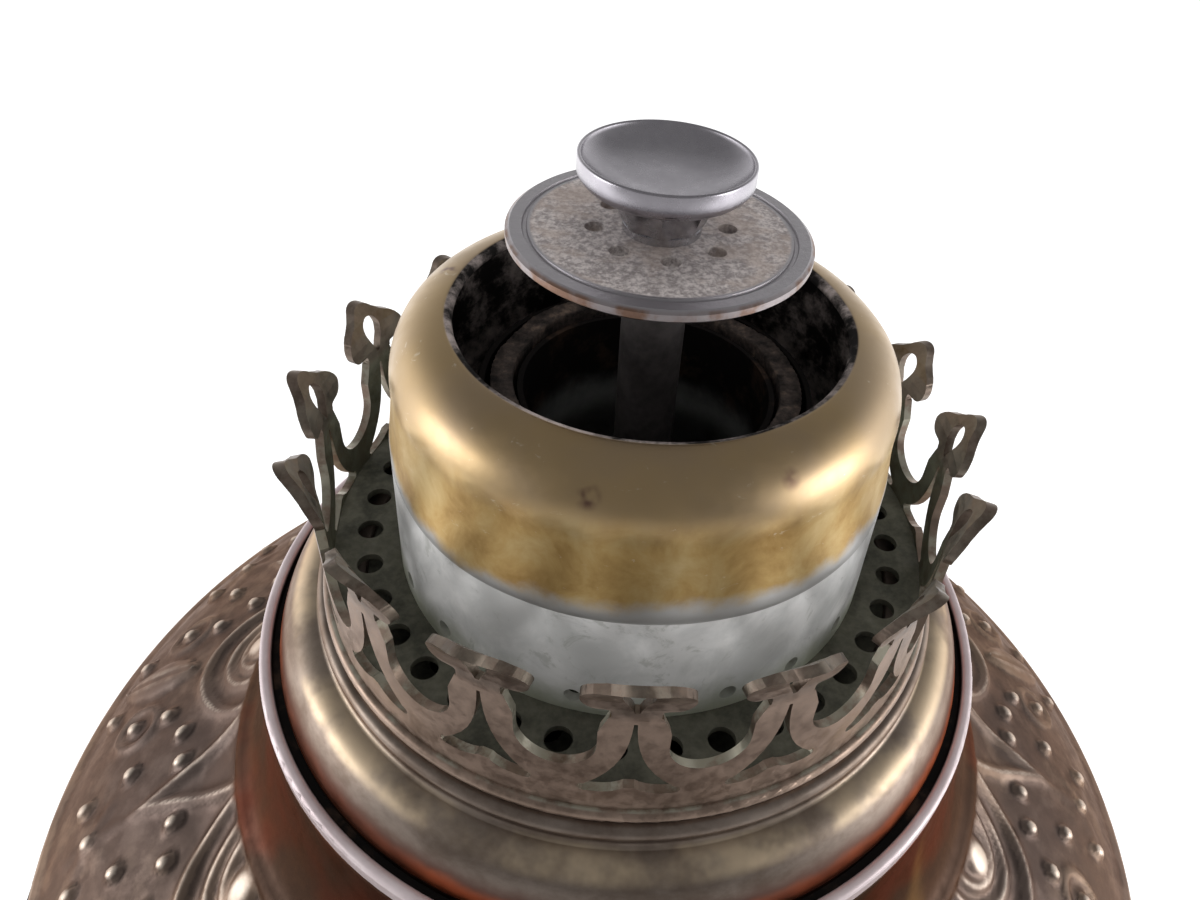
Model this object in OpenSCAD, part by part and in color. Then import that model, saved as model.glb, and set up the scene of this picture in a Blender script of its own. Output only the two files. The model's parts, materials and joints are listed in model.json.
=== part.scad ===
// Column lamp with a drop-in oil tank and a centre-draught round-wick burner.
// Units are millimetres. +Z is up, the origin is the middle of the underside,
// and the front of the lamp faces -Y. The wick winder is at the back, on +Y.

/* [Plinth and weight] */
// Side of the square plinth at its foot
plinth_w = 164; // [140:1:200]
// Height of the plinth from table to top slab
plinth_h = 56; // [46:1:80]
// Height of the straight foot block of the plinth
foot_h = 12; // [8:1:18]
// Height of the top slab of the plinth
slab_h = 7; // [4:1:12]
// Side of the top slab
slab_w = 96; // [88:1:110]
// Thickness of the plinth sheet
plinth_wall = 1.6; // [1:0.1:3]
// Thickness of the cover under the plinth
cover_t = 1.5; // [1:0.1:3]
// Distance from the side of the plinth's foot to the cast weight
weight_gap = 22; // [16:1:30]

/* [Column] */
// Height of the turned column base
column_base_h = 28; // [22:1:36]
// Radius of the lower torus of the column base
column_base_r = 41; // [36:1:43]
// Height of the fluted shaft
shaft_h = 150; // [110:1:260]
// Radius of the shaft at its foot
shaft_r_low = 24; // [20:0.5:28]
// Radius of the shaft at its top
shaft_r_top = 21; // [18:0.5:24]
// Number of flutes
flute_count = 18; // [12:1:24]
// Radius of one flute
flute_r = 2.7; // [1.5:0.1:3.2]
// Wall of the shaft between bore and flute floor
shaft_wall = 2.2; // [1.5:0.1:4]

/* [Capital] */
// Height of the capital, abacus included
capital_h = 62; // [52:1:76]
// Thickness of the abacus
abacus_h = 8; // [5:1:12]
// Side of the square that the abacus is cut from
abacus_w = 92; // [84:1:104]
// Depth of the hollow in each side of the abacus
abacus_dip = 7; // [3:0.5:10]
// Radius of the bell under its lip
bell_r = 20; // [18:0.5:22]
// Number of leaves in each of the two rows
leaf_count = 8; // [6:1:10]
// Thickness of a leaf
leaf_t = 1.4; // [1:0.1:2.5]

/* [Air gallery] */
// Height of the pierced ring that carries the vase
air_ring_h = 26; // [20:1:34]
// Outer radius of the pierced ring
air_ring_r = 27; // [24:0.5:32]
// Wall of the pierced ring
air_ring_wall = 1.4; // [1:0.1:2.5]
// Number of arched air openings
air_window_count = 12; // [8:1:16]
// Width of one air opening
air_window_w = 7; // [4:0.5:8]

/* [Vase] */
// Greatest radius of the vase
vase_r = 87.5; // [80:0.5:96]
// Depth from the rim to the widest place
vase_drop = 63; // [58:0.5:70]
// Depth from the rim to the foot of the bowl
vase_depth = 117; // [108:0.5:130]
// Thickness of the vase sheet
vase_wall = 0.9; // [0.7:0.1:1.5]
// Outer radius of the bright rim
rim_r = 44.2; // [43:0.1:46]
// Height of the rim ring
rim_h = 2.2; // [1.9:0.1:3]
// Radius of the bead round the widest place
band_bead_r = 2; // [1.5:0.1:3]
// Number of embossed bays round the shoulder
bay_count = 9; // [8:1:10]
// Turn of the bays, so that a strap stands left of the front
bay_turn = -73; // [-90:1:-60]
// Height of the embossing
emboss_h = 0.8; // [0.5:0.1:1]

/* [Tank] */
// Outer radius of the tank flange that hangs in the rim
flange_r = 41.9; // [41:0.1:42.4]
// Thickness of the tank flange
flange_t = 0.9; // [0.7:0.1:1.2]
// Outer radius of the tank
tank_r = 39.5; // [36:0.5:40]
// Depth of the tank under its flange
tank_depth = 84; // [60:1:96]
// Sheet thickness of the tank
tank_sheet = 0.7; // [0.5:0.1:1]
// Outer radius of the draught tube
draught_r = 13.5; // [12.5:0.1:13.6]
// Wall of the draught tube
draught_wall = 0.6; // [0.5:0.1:1]

/* [Burner] */
// Height of the burner dome over the rim
dome_h = 8.6; // [8:0.1:12]
// Sheet thickness of the dome
dome_t = 0.8; // [0.6:0.1:1]
// Radius of the seat on top of the dome
seat_r = 35.6; // [35:0.1:37]
// Inner radius of the outer wick tube
wick_tube_r = 16.8; // [16.5:0.1:17.4]
// Wall of the outer wick tube
wick_tube_wall = 0.6; // [0.5:0.1:0.8]
// Height of the wick tube's mouth over the rim
wick_tube_top = 33.6; // [28:0.1:36]
// Inner radius of the wick
wick_r_in = 13.9; // [13.8:0.1:14]
// Thickness of the wick
wick_t = 2.3; // [1.5:0.1:2.4]
// Length of the wick
wick_len = 88; // [70:1:92]
// Height of the wick over the mouth of its tube
wick_show = 1; // [0:0.1:3]

/* [Winder] */
// Height of the winder spindle over the rim
spindle_up = 3.6; // [3.4:0.1:4]
// Radius of the winder spindle
spindle_r = 1.25; // [1:0.05:1.4]
// Distance of the knob's inner face from the axis
knob_y = 52; // [49:0.5:60]
// Radius of the knob
knob_r = 9; // [7:0.5:11]
// Thickness of the knob's rim
knob_t = 4.2; // [3:0.1:6]
// Number of notches round the knob
knob_notches = 24; // [16:1:30]
// Number of teeth on the pinion
pinion_teeth = 10; // [10:1:12]
// Module of the teeth, pitch circle diameter over teeth
tooth_module = 0.6; // [0.5:0.05:0.6]
// Gap between the flanks of pinion and rack
backlash = 0.12; // [0.08:0.01:0.2]

/* [Chimney gallery] */
// Number of heads round the gallery
head_count = 16; // [12:1:18]
// Turn of the gallery, so that a head stands just right of the front
gallery_turn = 2.8; // [0:0.1:11]
// Radius of the gallery wall outside
gallery_r = 34.9; // [34.6:0.1:36]
// Thickness of the gallery sheet
gallery_t = 0.9; // [0.7:0.1:1.2]
// Height of the base band
gallery_band_h = 4.5; // [3:0.1:6]
// Width of the opening of each U
u_gap = 7.4; // [6:0.1:8]
// Height of the strap under each U
strap_h = 3.8; // [3:0.1:4.5]
// Height of the necks over the band's foot
neck_up = 16.6; // [14:0.1:18]
// Height of the tips over the necks
head_up = 6.4; // [5:0.1:8]
// How far the tips flare out from the wall
head_flare = 2.7; // [1.5:0.1:4]
// Width of a head across its lobes
head_w = 9.6; // [8:0.1:10.4]

/* [Deflector] */
// Radius of the deflector's mouth
mouth_r = 19.5; // [18.5:0.1:20.5]
// Height of the mouth's lip over the rim
mouth_up = 42.5; // [40:0.1:46]
// Outer radius of the brass cap at its shoulder
cap_r = 25.8; // [25:0.1:26.4]
// Outer radius of the cap at the seam
cap_r_foot = 26.6; // [26.4:0.1:27.4]
// Rounding of the cap's shoulder
cap_round = 6.2; // [5:0.1:6.4]
// Height of the seam between cap and tube over the rim
seam_up = 26.9; // [24:0.1:29]
// Sheet thickness of cap and tube
deflector_t = 0.7; // [0.5:0.1:0.9]
// Number of small holes round the tube's foot
tube_holes = 22; // [12:1:28]

/* [Flame spreader] */
// Radius of the spreader's disc
disc_r = 14.3; // [13:0.1:15]
// Thickness of the disc
disc_t = 1.1; // [0.8:0.1:1.6]
// Height of the disc's top over the rim
disc_up = 51.4; // [48:0.1:54]
// Radius of the button
button_r = 8; // [7:0.1:9]
// Height of the button's rim over the rim of the vase
button_up = 58.4; // [56:0.1:61]
// Radius of the stem
stem_r = 3.2; // [2.6:0.1:3.6]
// Number of air holes in the disc
disc_holes = 8; // [6:1:10]
// Radius of the circle that the air holes stand on
disc_hole_ring = 6.2; // [6:0.1:7.5]

/* [Rod and fastenings] */
// Radius of the tie rod
rod_r = 4; // [3:0.5:5]
// Width of the nuts across flats
nut_w = 13; // [11:0.5:15]
// Thickness of the nuts
nut_h = 6; // [4:0.5:8]

/* [Hidden] */
$fn = 96;
// Overshoot of a cutter past the face it cuts
eps = 0.5;
// Clearance of a sliding fit
fit = 0.3;
// Clearance of a shaft that turns in its bearing
run = 0.05;

// Height of the half-round ring between shaft and capital
astragal_h = 4.4;

// Washer under the weight, with the nut below it
washer_t = 1.5;
washer_top_z = cover_t + nut_h + 5;
washer_z = washer_top_z - washer_t;

// Heights of the stack, from the table up
z_column = plinth_h;
z_shaft = z_column + column_base_h;
z_capital = z_shaft + shaft_h;
z_abacus = z_capital + capital_h - abacus_h;
z_air = z_capital + capital_h;
z_vase = z_air + air_ring_h;
z_rim = z_vase + vase_depth;
z_widest = z_rim - vase_drop;

// Rim and flange
ledge_drop = 0.45;
ledge_z = z_rim - ledge_drop - flange_t;
ledge_r = tank_r + 0.6;
rim_bore = flange_r + 0.9;
neck_top_z = z_rim - rim_h;

// Burner
dome_top_z = z_rim + dome_h;
dome_foot_r = flange_r - 1.5;
tube_mouth_z = z_rim + wick_tube_top;
tube_r_out = wick_tube_r + wick_tube_wall;
wick_top_z = tube_mouth_z + wick_show;
wick_r_out = wick_r_in + wick_t;
spindle_z = z_rim + spindle_up;
gland_r = 3.1;
gland_end = flange_r + 3.3;

// Winder: pinion turns on the spindle, rack stands beside it
pitch_r = tooth_module * pinion_teeth / 2;
tooth_pitch = PI * tooth_module;
pressure = 25;
addendum = 0.85 * tooth_module;
dedendum = 1.15 * tooth_module;
rack_y0 = tube_r_out + 0.6;
rack_y1 = rack_y0 + 3;
rack_back = pitch_r + 2.6;
rack_high = 21;

// Gallery and deflector
pitch_angle = 360 / head_count;
u_half = gallery_r * sin(pitch_angle / 2);
band_top_z = dome_top_z + gallery_band_h;
u_centre_z = band_top_z + strap_h + u_gap / 2;
neck_z = dome_top_z + neck_up;
tip_z = neck_z + head_up;
mouth_z = z_rim + mouth_up;
seam_z = z_rim + seam_up;
plate_t = 0.8;
plate_lip = 1.2;
plate_holes = 36;
plate_hole_r = 1.4;
plate_z = dome_top_z + 3.6;
tube_foot_z = plate_z + plate_t;

// Spreader
disc_z = z_rim + disc_up;
button_z = z_rim + button_up;
button_side = 1.8;
button_taper = 1.7;
button_dish = 1.9;
button_seat_r = 5;
button_low_z = button_z - button_side - button_taper;
pin_r = stem_r * 0.6;
spider_z = tube_mouth_z - 34;
spider_h = 6;

// Points on an arc about c, from angle a0 to a1
function arc(c, r, a0, a1, n = 8) =
    [for (i = [0:n]) let (a = a0 + (a1 - a0) * i / n) c + r * [cos(a), sin(a)]];
// Points on a cubic curve with the ends p and s and the handles q and r
function curve(p, q, r, s, n = 12) =
    [for (i = [0:n]) let (t = i / n, u = 1 - t)
        u * u * u * p + 3 * u * u * t * q + 3 * u * t * t * r + t * t * t * s];
function backwards(p) = [for (i = [len(p) - 1:-1:0]) p[i]];
function unit(v) = v / norm(v);
// Left normal of an open outline at its point i
function normal_at(p, i) =
    let (d = unit(p[min(i + 1, len(p) - 1)] - p[max(i - 1, 0)])) [-d[1], d[0]];
function moved(p, t) = [for (i = [0:len(p) - 1]) p[i] + t * normal_at(p, i)];

// Sheet of thickness t, spun from an open outline, on the outline's left side
module spun_sheet(p, t) {
    rotate_extrude() polygon(concat(p, backwards(moved(p, t))));
}

// Plain ring from z0 to z1
module ring(r_out, r_in, z0, z1) {
    translate([0, 0, z0]) difference() {
        cylinder(r = r_out, h = z1 - z0);
        translate([0, 0, -eps]) cylinder(r = r_in, h = z1 - z0 + 2 * eps);
    }
}

// Copies of a child round the axis
module around(count, turn = 0) {
    for (i = [0:count - 1]) rotate(turn + i * 360 / count) children();
}

// Square moulding: the outline p, in half width and height, carried round four sides
module square_moulding(p) {
    span = 2 * max([for (q = p) q[0]]) + 2 * eps;
    both = concat(p, [for (q = backwards(p)) [-q[0], q[1]]]);
    intersection() {
        rotate([90, 0, 0]) linear_extrude(span, center = true) polygon(both);
        rotate([90, 0, 90]) linear_extrude(span, center = true) polygon(both);
    }
}

// Outline of the plinth, moved in by t: foot block, hollow sweep, bead and slab
function plinth_outline(t) = let (
    w = plinth_w / 2 - t,
    s = slab_w / 2 - t,
    top = plinth_h - t,
    sweep_top = plinth_h - slab_h - 3)
    concat([[w, t > 0 ? -eps : 0], [w, foot_h - t], [w - 4, foot_h - t], [w - 4, foot_h + 3 - t]],
        curve([w - 6, foot_h + 3 - t], [w - 20, foot_h + 4 - t],
            [s + 2, sweep_top - 14], [s - 1, sweep_top - t], 10),
        [[s - 1, plinth_h - slab_h - t], [s, plinth_h - slab_h - t], [s, top]]);

module base_cover() color("dimgray") {
    inner = plinth_w / 2 - plinth_wall - 0.2;
    difference() {
        translate([-inner, -inner, 0]) cube([2 * inner, 2 * inner, cover_t]);
        translate([0, 0, -eps]) cylinder(r = nut_w, h = cover_t + 2 * eps);
    }
}

module plinth_shell() color("peru") {
    difference() {
        square_moulding(plinth_outline(0));
        square_moulding(plinth_outline(plinth_wall));
        translate([0, 0, plinth_h - 2 * plinth_wall]) cylinder(r = rod_r + fit, h = 4 * plinth_wall);
    }
}

weight_r = plinth_w / 2 - weight_gap;
weight_h = foot_h + 4;
weight_bevel = 3;
hub_r = nut_w + 3;

// Cast weight: a disc in the foot block, with a hub up to the plinth's top slab
module base_weight() color("darkslategray") {
    translate([0, 0, cover_t]) difference() {
        union() {
            cylinder(r = weight_r, h = weight_h - weight_bevel);
            translate([0, 0, weight_h - weight_bevel])
                cylinder(r1 = weight_r, r2 = weight_r - weight_bevel, h = weight_bevel);
            translate([0, 0, weight_h]) cylinder(r = hub_r, h = plinth_h - plinth_wall - cover_t - weight_h);
        }
        translate([0, 0, -eps]) cylinder(r = rod_r + fit, h = plinth_h);
        translate([0, 0, -eps]) cylinder(r = nut_w, h = washer_top_z - cover_t + eps);
    }
}

module rod_washer() color("silver") {
    ring(nut_w - 1, rod_r + fit, washer_z, washer_top_z);
}

// Hexagon nut on the rod, from z up
module rod_nut(z) {
    translate([0, 0, z]) difference() {
        cylinder(d = nut_w / cos(30), h = nut_h, $fn = 6);
        translate([0, 0, -eps]) cylinder(r = rod_r, h = nut_h + 2 * eps);
    }
}

module rod_nut_lower() color("goldenrod") rod_nut(washer_z - nut_h);

holder_floor = 2.4;

module rod_nut_upper() color("goldenrod") rod_nut(z_air + holder_floor);

module tie_rod() color("gray") {
    low = washer_z - nut_h - 1;
    translate([0, 0, low]) cylinder(r = rod_r, h = z_air + holder_floor + nut_h + 2 - low);
}

// Attic base: lower torus, hollow, upper torus, with fillets between
module column_base() color("goldenrod") {
    low_t = column_base_h * 0.2;
    up_t = column_base_h * 0.13;
    up_r = shaft_r_low + 5;
    mid = column_base_r - 6;
    z_low = 2 * low_t;
    z_up = column_base_h - 2 - 2 * up_t;
    translate([0, 0, z_column]) difference() {
        rotate_extrude() {
            square([column_base_r - low_t, z_low]);
            translate([column_base_r - low_t, low_t]) circle(low_t, $fn = 48);
            polygon(concat([[0, z_low - eps], [mid, z_low - eps], [mid, z_low + 1.4]],
                curve([mid, z_low + 1.4], [up_r - 3, z_low + 2],
                    [up_r - 4, z_up - 3], [up_r - 0.5, z_up - 1.2], 8),
                [[up_r - 0.5, z_up + eps], [0, z_up + eps]]));
            translate([0, z_up]) square([up_r, 2 * up_t]);
            translate([up_r, z_up + up_t]) circle(up_t, $fn = 48);
            translate([0, column_base_h - 2 - eps]) square([shaft_r_low + 2.5, 2 + eps]);
        }
        translate([0, 0, -eps]) cylinder(r = rod_r + fit, h = column_base_h + 2 * eps);
        translate([0, 0, 3]) cylinder(r = shaft_r_low - flute_r - shaft_wall - 2, h = column_base_h - 6);
    }
}

// Fluted shaft, tapering to the top, hollow for the rod
module column_shaft() color("darkgoldenrod") {
    bore = shaft_r_top - flute_r - shaft_wall;
    lean = atan((shaft_r_low - shaft_r_top) / shaft_h);
    flute_z0 = 9;
    flute_len = (shaft_h - 16) / cos(lean);
    flute_x = shaft_r_low - flute_z0 * tan(lean) + 0.9;
    translate([0, 0, z_shaft]) difference() {
        union() {
            cylinder(r1 = shaft_r_low, r2 = shaft_r_top, h = shaft_h);
            cylinder(r = shaft_r_low + 1.4, h = 3);
        }
        translate([0, 0, -eps]) cylinder(r = bore, h = shaft_h + 2 * eps);
        around(flute_count) translate([flute_x, 0, flute_z0])
            rotate([0, -lean, 0]) {
                cylinder(r = flute_r, h = flute_len, $fn = 32);
                sphere(flute_r, $fn = 32);
                translate([0, 0, flute_len]) sphere(flute_r, $fn = 32);
            }
    }
}

module shaft_astragal() color("goldenrod") {
    translate([0, 0, z_capital]) rotate_extrude() {
        translate([shaft_r_top, astragal_h / 2]) circle(astragal_h / 2, $fn = 40);
        translate([rod_r + fit, 0]) square([shaft_r_top - rod_r - fit, astragal_h]);
    }
}

bell_z = z_capital + astragal_h;

// Bell of the capital: a vase-shaped core with a lip under the abacus
function bell_outline() = let (h = z_abacus - bell_z)
    concat([[bell_r - 1, 0]],
        curve([bell_r - 1, 2], [bell_r - 1, h * 0.55], [bell_r + 1, h * 0.8], [bell_r + 9, h - 3], 10),
        [[bell_r + 10, h - 2.5], [bell_r + 10, h]]);

module capital_bell() color("darkgoldenrod") {
    h = z_abacus - bell_z;
    translate([0, 0, bell_z]) difference() {
        rotate_extrude() polygon(concat([[0, 0]], bell_outline(), [[0, h]]));
        translate([0, 0, -eps]) cylinder(r = rod_r + fit, h = h + 2 * eps);
        translate([0, 0, 4]) cylinder(r = bell_r - 6, h = h - 8);
    }
}

// Right half of a leaf's outline, as shares of its width and height, foot first
leaf_half = [[0.26, 0], [0.5, 0.13], [0.36, 0.24], [0.5, 0.4], [0.34, 0.49],
             [0.43, 0.66], [0.27, 0.73], [0.26, 0.88], [0.1, 1.06]];

// One leaf: an upright strip that curls out at the top, trimmed to its outline
module leaf(r, w, h, reach) {
    curl = leaf_t + 1.6;
    side = concat(curve([r, 0], [r, h * 0.4], [r + 0.5, h * 0.8], [r + reach - curl, h - 0.4], 6),
        arc([r + reach - curl + 0.4, h - 0.4 - curl], curl, 75, -30, 4));
    shape = concat(leaf_half, [for (q = backwards(leaf_half)) [-q[0], q[1]]]);
    intersection() {
        rotate([90, 0, 0]) linear_extrude(w + 2, center = true)
            polygon(concat(side, backwards(moved(side, -leaf_t))));
        rotate([90, 0, 90]) translate([0, 0, r - 2]) linear_extrude(reach + 6)
            polygon([for (q = shape) [q[0] * w, q[1] * h]]);
    }
}

module capital_leaves() color("goldenrod") {
    r = bell_r + 0.2;
    h = z_abacus - bell_z;
    translate([0, 0, bell_z]) {
        around(leaf_count) leaf(r, 12.4, h * 0.5, 8);
        around(leaf_count, 180 / leaf_count) leaf(r, 11.6, h * 0.78, 12);
        ring(r + leaf_t + 0.6, r - 0.6, 0, 2.4);
    }
}

volute_r = 7;
volute_t = 1.8;
volute_w = 4.4;
volute_reach = abacus_w / 2 * sqrt(2) - 17;

// Volute in the radial plane: a ribbon that leaves the bell, rises under the
// abacus and winds in clockwise to its eye at the origin
module volute() {
    start = [bell_r + 1 - volute_reach, -14.6];
    steps = 36;
    turns = 1.5;
    path = concat(curve(start, start + [1, 9], [-13, volute_r], [-2, volute_r], 8),
        [for (i = [0:steps]) let (t = i / steps, a = 90 - 360 * turns * t, r = volute_r * (1 - 0.76 * t))
            r * [cos(a), sin(a)]]);
    linear_extrude(volute_w, center = true) {
        polygon(concat(path, backwards(moved(path, -volute_t))));
        circle(volute_t, $fn = 24);
        translate([-3.4, volute_r - 1.2]) square([5.4, 1.2]);
    }
}

module capital_volutes() color("gold") {
    around(4, 45) translate([volute_reach, 0, z_abacus - volute_r]) rotate([90, 0, 0]) volute();
}

module abacus() color("goldenrod") {
    half = abacus_w / 2;
    corner = half * 1.28;
    dip_r = (half * half * 0.72 + abacus_dip * abacus_dip) / (2 * abacus_dip);
    dip_x = half - abacus_dip + dip_r;
    translate([0, 0, z_abacus]) difference() {
        intersection() {
            translate([-half, -half, 0]) cube([2 * half, 2 * half, abacus_h]);
            rotate(45) translate([-corner, -corner, 0]) cube([2 * corner, 2 * corner, abacus_h]);
        }
        around(4) translate([dip_x, 0, -eps]) {
            cylinder(r = dip_r, h = abacus_h + 2 * eps);
            cylinder(r = dip_r + 2, h = abacus_h * 0.4 + eps);
        }
        translate([0, 0, -eps]) cylinder(r = rod_r + fit, h = abacus_h + 2 * eps);
    }
}

module air_gallery() color("darkgoldenrod") {
    spring_z = air_ring_h - 12 - air_window_w / 2;
    translate([0, 0, z_air]) difference() {
        union() {
            cylinder(r = air_ring_r + 2.6, h = holder_floor);
            cylinder(r = air_ring_r, h = air_ring_h);
            translate([0, 0, air_ring_h - 2.4]) cylinder(r = air_ring_r + 1.8, h = 2.4);
        }
        translate([0, 0, holder_floor]) cylinder(r = air_ring_r - air_ring_wall, h = air_ring_h);
        translate([0, 0, -eps]) cylinder(r = rod_r + fit, h = air_ring_h);
        around(air_window_count, 180 / air_window_count) translate([air_ring_r - 6, 0, 5]) {
            translate([0, -air_window_w / 2, 0]) cube([12, air_window_w, spring_z]);
            translate([0, 0, spring_z]) rotate([0, 90, 0]) cylinder(d = air_window_w, h = 12, $fn = 32);
        }
    }
}

bowl_foot_r = air_ring_r - 0.4;
bowl_mouth_r = air_ring_r - air_ring_wall - 2;
// How far under its widest place the bowl starts to turn in
bowl_turn = 27;

// Bowl: from the foot, round to the widest place
function bowl_outline() = concat([[bowl_mouth_r, z_vase], [bowl_foot_r + 2, z_vase]],
    curve([bowl_foot_r + 3, z_vase + 1.2], [vase_r * 0.68, z_vase + 5],
        [vase_r, z_widest - bowl_turn], [vase_r, z_widest - 1.5], 20));

module vase_bowl() color("saddlebrown") spun_sheet(bowl_outline(), vase_wall);

module vase_band() color("goldenrod") {
    half = 3.2;
    cut = 5;
    translate([0, 0, z_widest]) rotate_extrude() difference() {
        union() {
            translate([vase_r + 0.4, 0]) circle(band_bead_r, $fn = 32);
            translate([vase_r + 0.1, -half]) square([1, 2 * half]);
        }
        translate([vase_r - cut, -cut]) square([cut + 0.1, 2 * cut]);
    }
}

// Shoulder: the domed part from the widest place up to the turn, then the flared neck
neck_turn = [rim_r + 11.8, z_rim - 26];
dome_line = curve([vase_r, z_widest - 1.2], [vase_r, z_rim - 46],
    [rim_r + 25.8, z_rim - 33.5], neck_turn, 14);
neck_line = curve(neck_turn, [rim_r + 3.3, z_rim - 20],
    [rim_r + 0.4, z_rim - 12], [rim_r, neck_top_z], 10);
shoulder_outline = concat(dome_line, [for (i = [1:10]) neck_line[i]]);

// Borders of the embossing: where the neck starts, and over the widest place
border = neck_line[3];
low_border = dome_line[5];
ridge_r = 0.8;
strap_half = 6.2;
strap_len = 15.5;
strap_w = 1.8;

// Pointed strap, seen from above, its foot on the border
module strap_shape() {
    difference() {
        polygon([[0, -strap_half], [strap_len, 0], [0, strap_half]]);
        polygon([[-eps, strap_w - strap_half], [strap_len - 2 * strap_w, 0], [-eps, strap_half - strap_w]]);
    }
}

// Two round arches about a boss, and a pointed leaf outside them
module arch_shape() {
    boss_r = 2.2;
    leaf_arc = 8.9;
    leaf_half_w = 3.4;
    difference() {
        for (r = [7, 11]) difference() {
            circle(r + strap_w / 2, $fn = 48);
            circle(r - strap_w / 2, $fn = 48);
        }
        translate([-20, -20]) square([20, 40]);
    }
    translate([boss_r, 0]) circle(boss_r, $fn = 24);
    translate([20.5, 0]) intersection_for(side = [-1, 1])
        translate([0, side * (leaf_arc - leaf_half_w)]) circle(leaf_arc, $fn = 64);
}

// Embossing: flat shapes let down on the shoulder, raised by emboss_h
module shoulder_relief() {
    intersection() {
        spun_sheet(moved(shoulder_outline, -emboss_h), emboss_h + vase_wall / 2);
        translate([0, 0, z_widest]) linear_extrude(vase_drop) {
            around(bay_count, bay_turn - 90) translate([border[0], 0]) strap_shape();
            around(bay_count, bay_turn - 90 + 180 / bay_count) translate([border[0], 0]) arch_shape();
        }
    }
}

module vase_shoulder() color("sienna") {
    spun_sheet(shoulder_outline, vase_wall);
    for (p = [border, low_border]) rotate_extrude() translate(p + [0.3, 0.15]) circle(ridge_r, $fn = 24);
    shoulder_relief();
}

// Rim: the ledge that the tank flange hangs on, and an upright wall with a round top
module neck_rim() color("rosybrown") {
    wall = rim_r - rim_bore;
    rotate_extrude() {
        translate([ledge_r, neck_top_z]) square([rim_r - ledge_r, ledge_z - neck_top_z]);
        translate([rim_bore, neck_top_z]) square([wall, rim_h - wall / 2]);
        translate([rim_bore + wall / 2, z_rim - wall / 2]) circle(wall / 2, $fn = 24);
    }
}

module tank_flange() color("indianred") {
    ring(flange_r, tank_r - tank_sheet - 1.2, ledge_z, ledge_z + flange_t);
}

module tank_wall() color("silver") {
    ring(tank_r, tank_r - tank_sheet, ledge_z - tank_depth, ledge_z);
}

module tank_bottom() color("silver") {
    ring(tank_r, draught_r, ledge_z - tank_depth - tank_sheet, ledge_z - tank_depth);
}

// Draught tube with the collar that is soldered under the tank
module draught_tube() color("darkgray") {
    foot_z = ledge_z - tank_depth - tank_sheet;
    difference() {
        union() {
            translate([0, 0, foot_z - 6]) cylinder(r = draught_r, h = tube_mouth_z - 0.4 - foot_z + 6);
            translate([0, 0, foot_z - 3]) cylinder(r = draught_r + 3, h = 3);
        }
        translate([0, 0, foot_z - 6 - eps])
            cylinder(r = draught_r - draught_wall, h = tube_mouth_z - foot_z + 8);
    }
}

// Dome: from its foot on the tank flange, over the broad moulding, to the seat
function dome_outline() = let (foot = ledge_z + flange_t)
    concat([[dome_foot_r, foot], [dome_foot_r, foot + 0.7]],
        curve([dome_foot_r - 0.05, foot + 1.1], [dome_foot_r - 0.4, foot + 4.8],
            [seat_r + 3.6, dome_top_z - 2.5], [seat_r + 1.2, dome_top_z - 2.4], 20),
        [[seat_r + 0.7, dome_top_z - 1.9], [seat_r + 1, dome_top_z - 0.9], [seat_r + 0.4, dome_top_z - 0.1],
         [seat_r - 0.2, dome_top_z], [gallery_r - gallery_t - 2.6, dome_top_z]]);

module burner_dome() color("darkgoldenrod") {
    difference() {
        spun_sheet(dome_outline(), dome_t);
        translate([0, seat_r - 3, spindle_z])
            rotate([-90, 0, 0]) cylinder(r = gland_r, h = flange_r - seat_r + 3);
    }
}

// Floor under the dome's seat, slotted for the rack and vented to the tank
module burner_floor() color("goldenrod") {
    top = dome_top_z - dome_t;
    vents = 12;
    vent_ring = (tube_r_out + seat_r) / 2;
    difference() {
        ring(seat_r - 1.6, tube_r_out, top - dome_t, top);
        translate([-pitch_r - 1.5, tube_r_out - 1, top - dome_t - eps])
            cube([pitch_r + 2 + rack_back, rack_y1 + 0.5 - tube_r_out + 1, dome_t + 2 * eps]);
        around(vents, 180 / vents) translate([vent_ring, 0, top - dome_t - eps])
            cylinder(r = 1.6, h = dome_t + 2 * eps);
    }
}

module wick_tube() color("darkgray") {
    low = z_rim - 2;
    difference() {
        ring(tube_r_out, wick_tube_r, low, tube_mouth_z);
        for (a = [0, 90, 180, 270]) rotate(a + 45) translate([wick_tube_r - 1, 0, low + 5])
            rotate([0, 90, 0]) cylinder(r = 1.4, h = 3);
    }
}

// Gland that the spindle turns in, let into the back of the dome
module spindle_gland() color("goldenrod") {
    y0 = seat_r - 2.6;
    translate([0, y0, spindle_z]) rotate([-90, 0, 0]) difference() {
        union() {
            cylinder(r = gland_r, h = gland_end - y0);
            translate([0, 0, gland_end - 3.6 - y0]) cylinder(r = gland_r / cos(30), h = 3.6, $fn = 6);
        }
        translate([0, 0, -eps]) cylinder(r = spindle_r + run, h = gland_end - y0 + 2 * eps);
    }
}

module winder_spindle() color("silver") {
    y0 = rack_y0 - 0.25;
    y1 = knob_y + knob_t + 1.2;
    translate([0, y0, spindle_z]) rotate([-90, 0, 0]) cylinder(r = spindle_r, h = y1 - y0);
}

// Involute flank: the point at roll angle t on a base circle
function involute(r, t) = let (a = t * 180 / PI) r * [cos(a) + t * sin(a), sin(a) - t * cos(a)];
function turned(p, a) = [p[0] * cos(a) - p[1] * sin(a), p[0] * sin(a) + p[1] * cos(a)];

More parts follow.
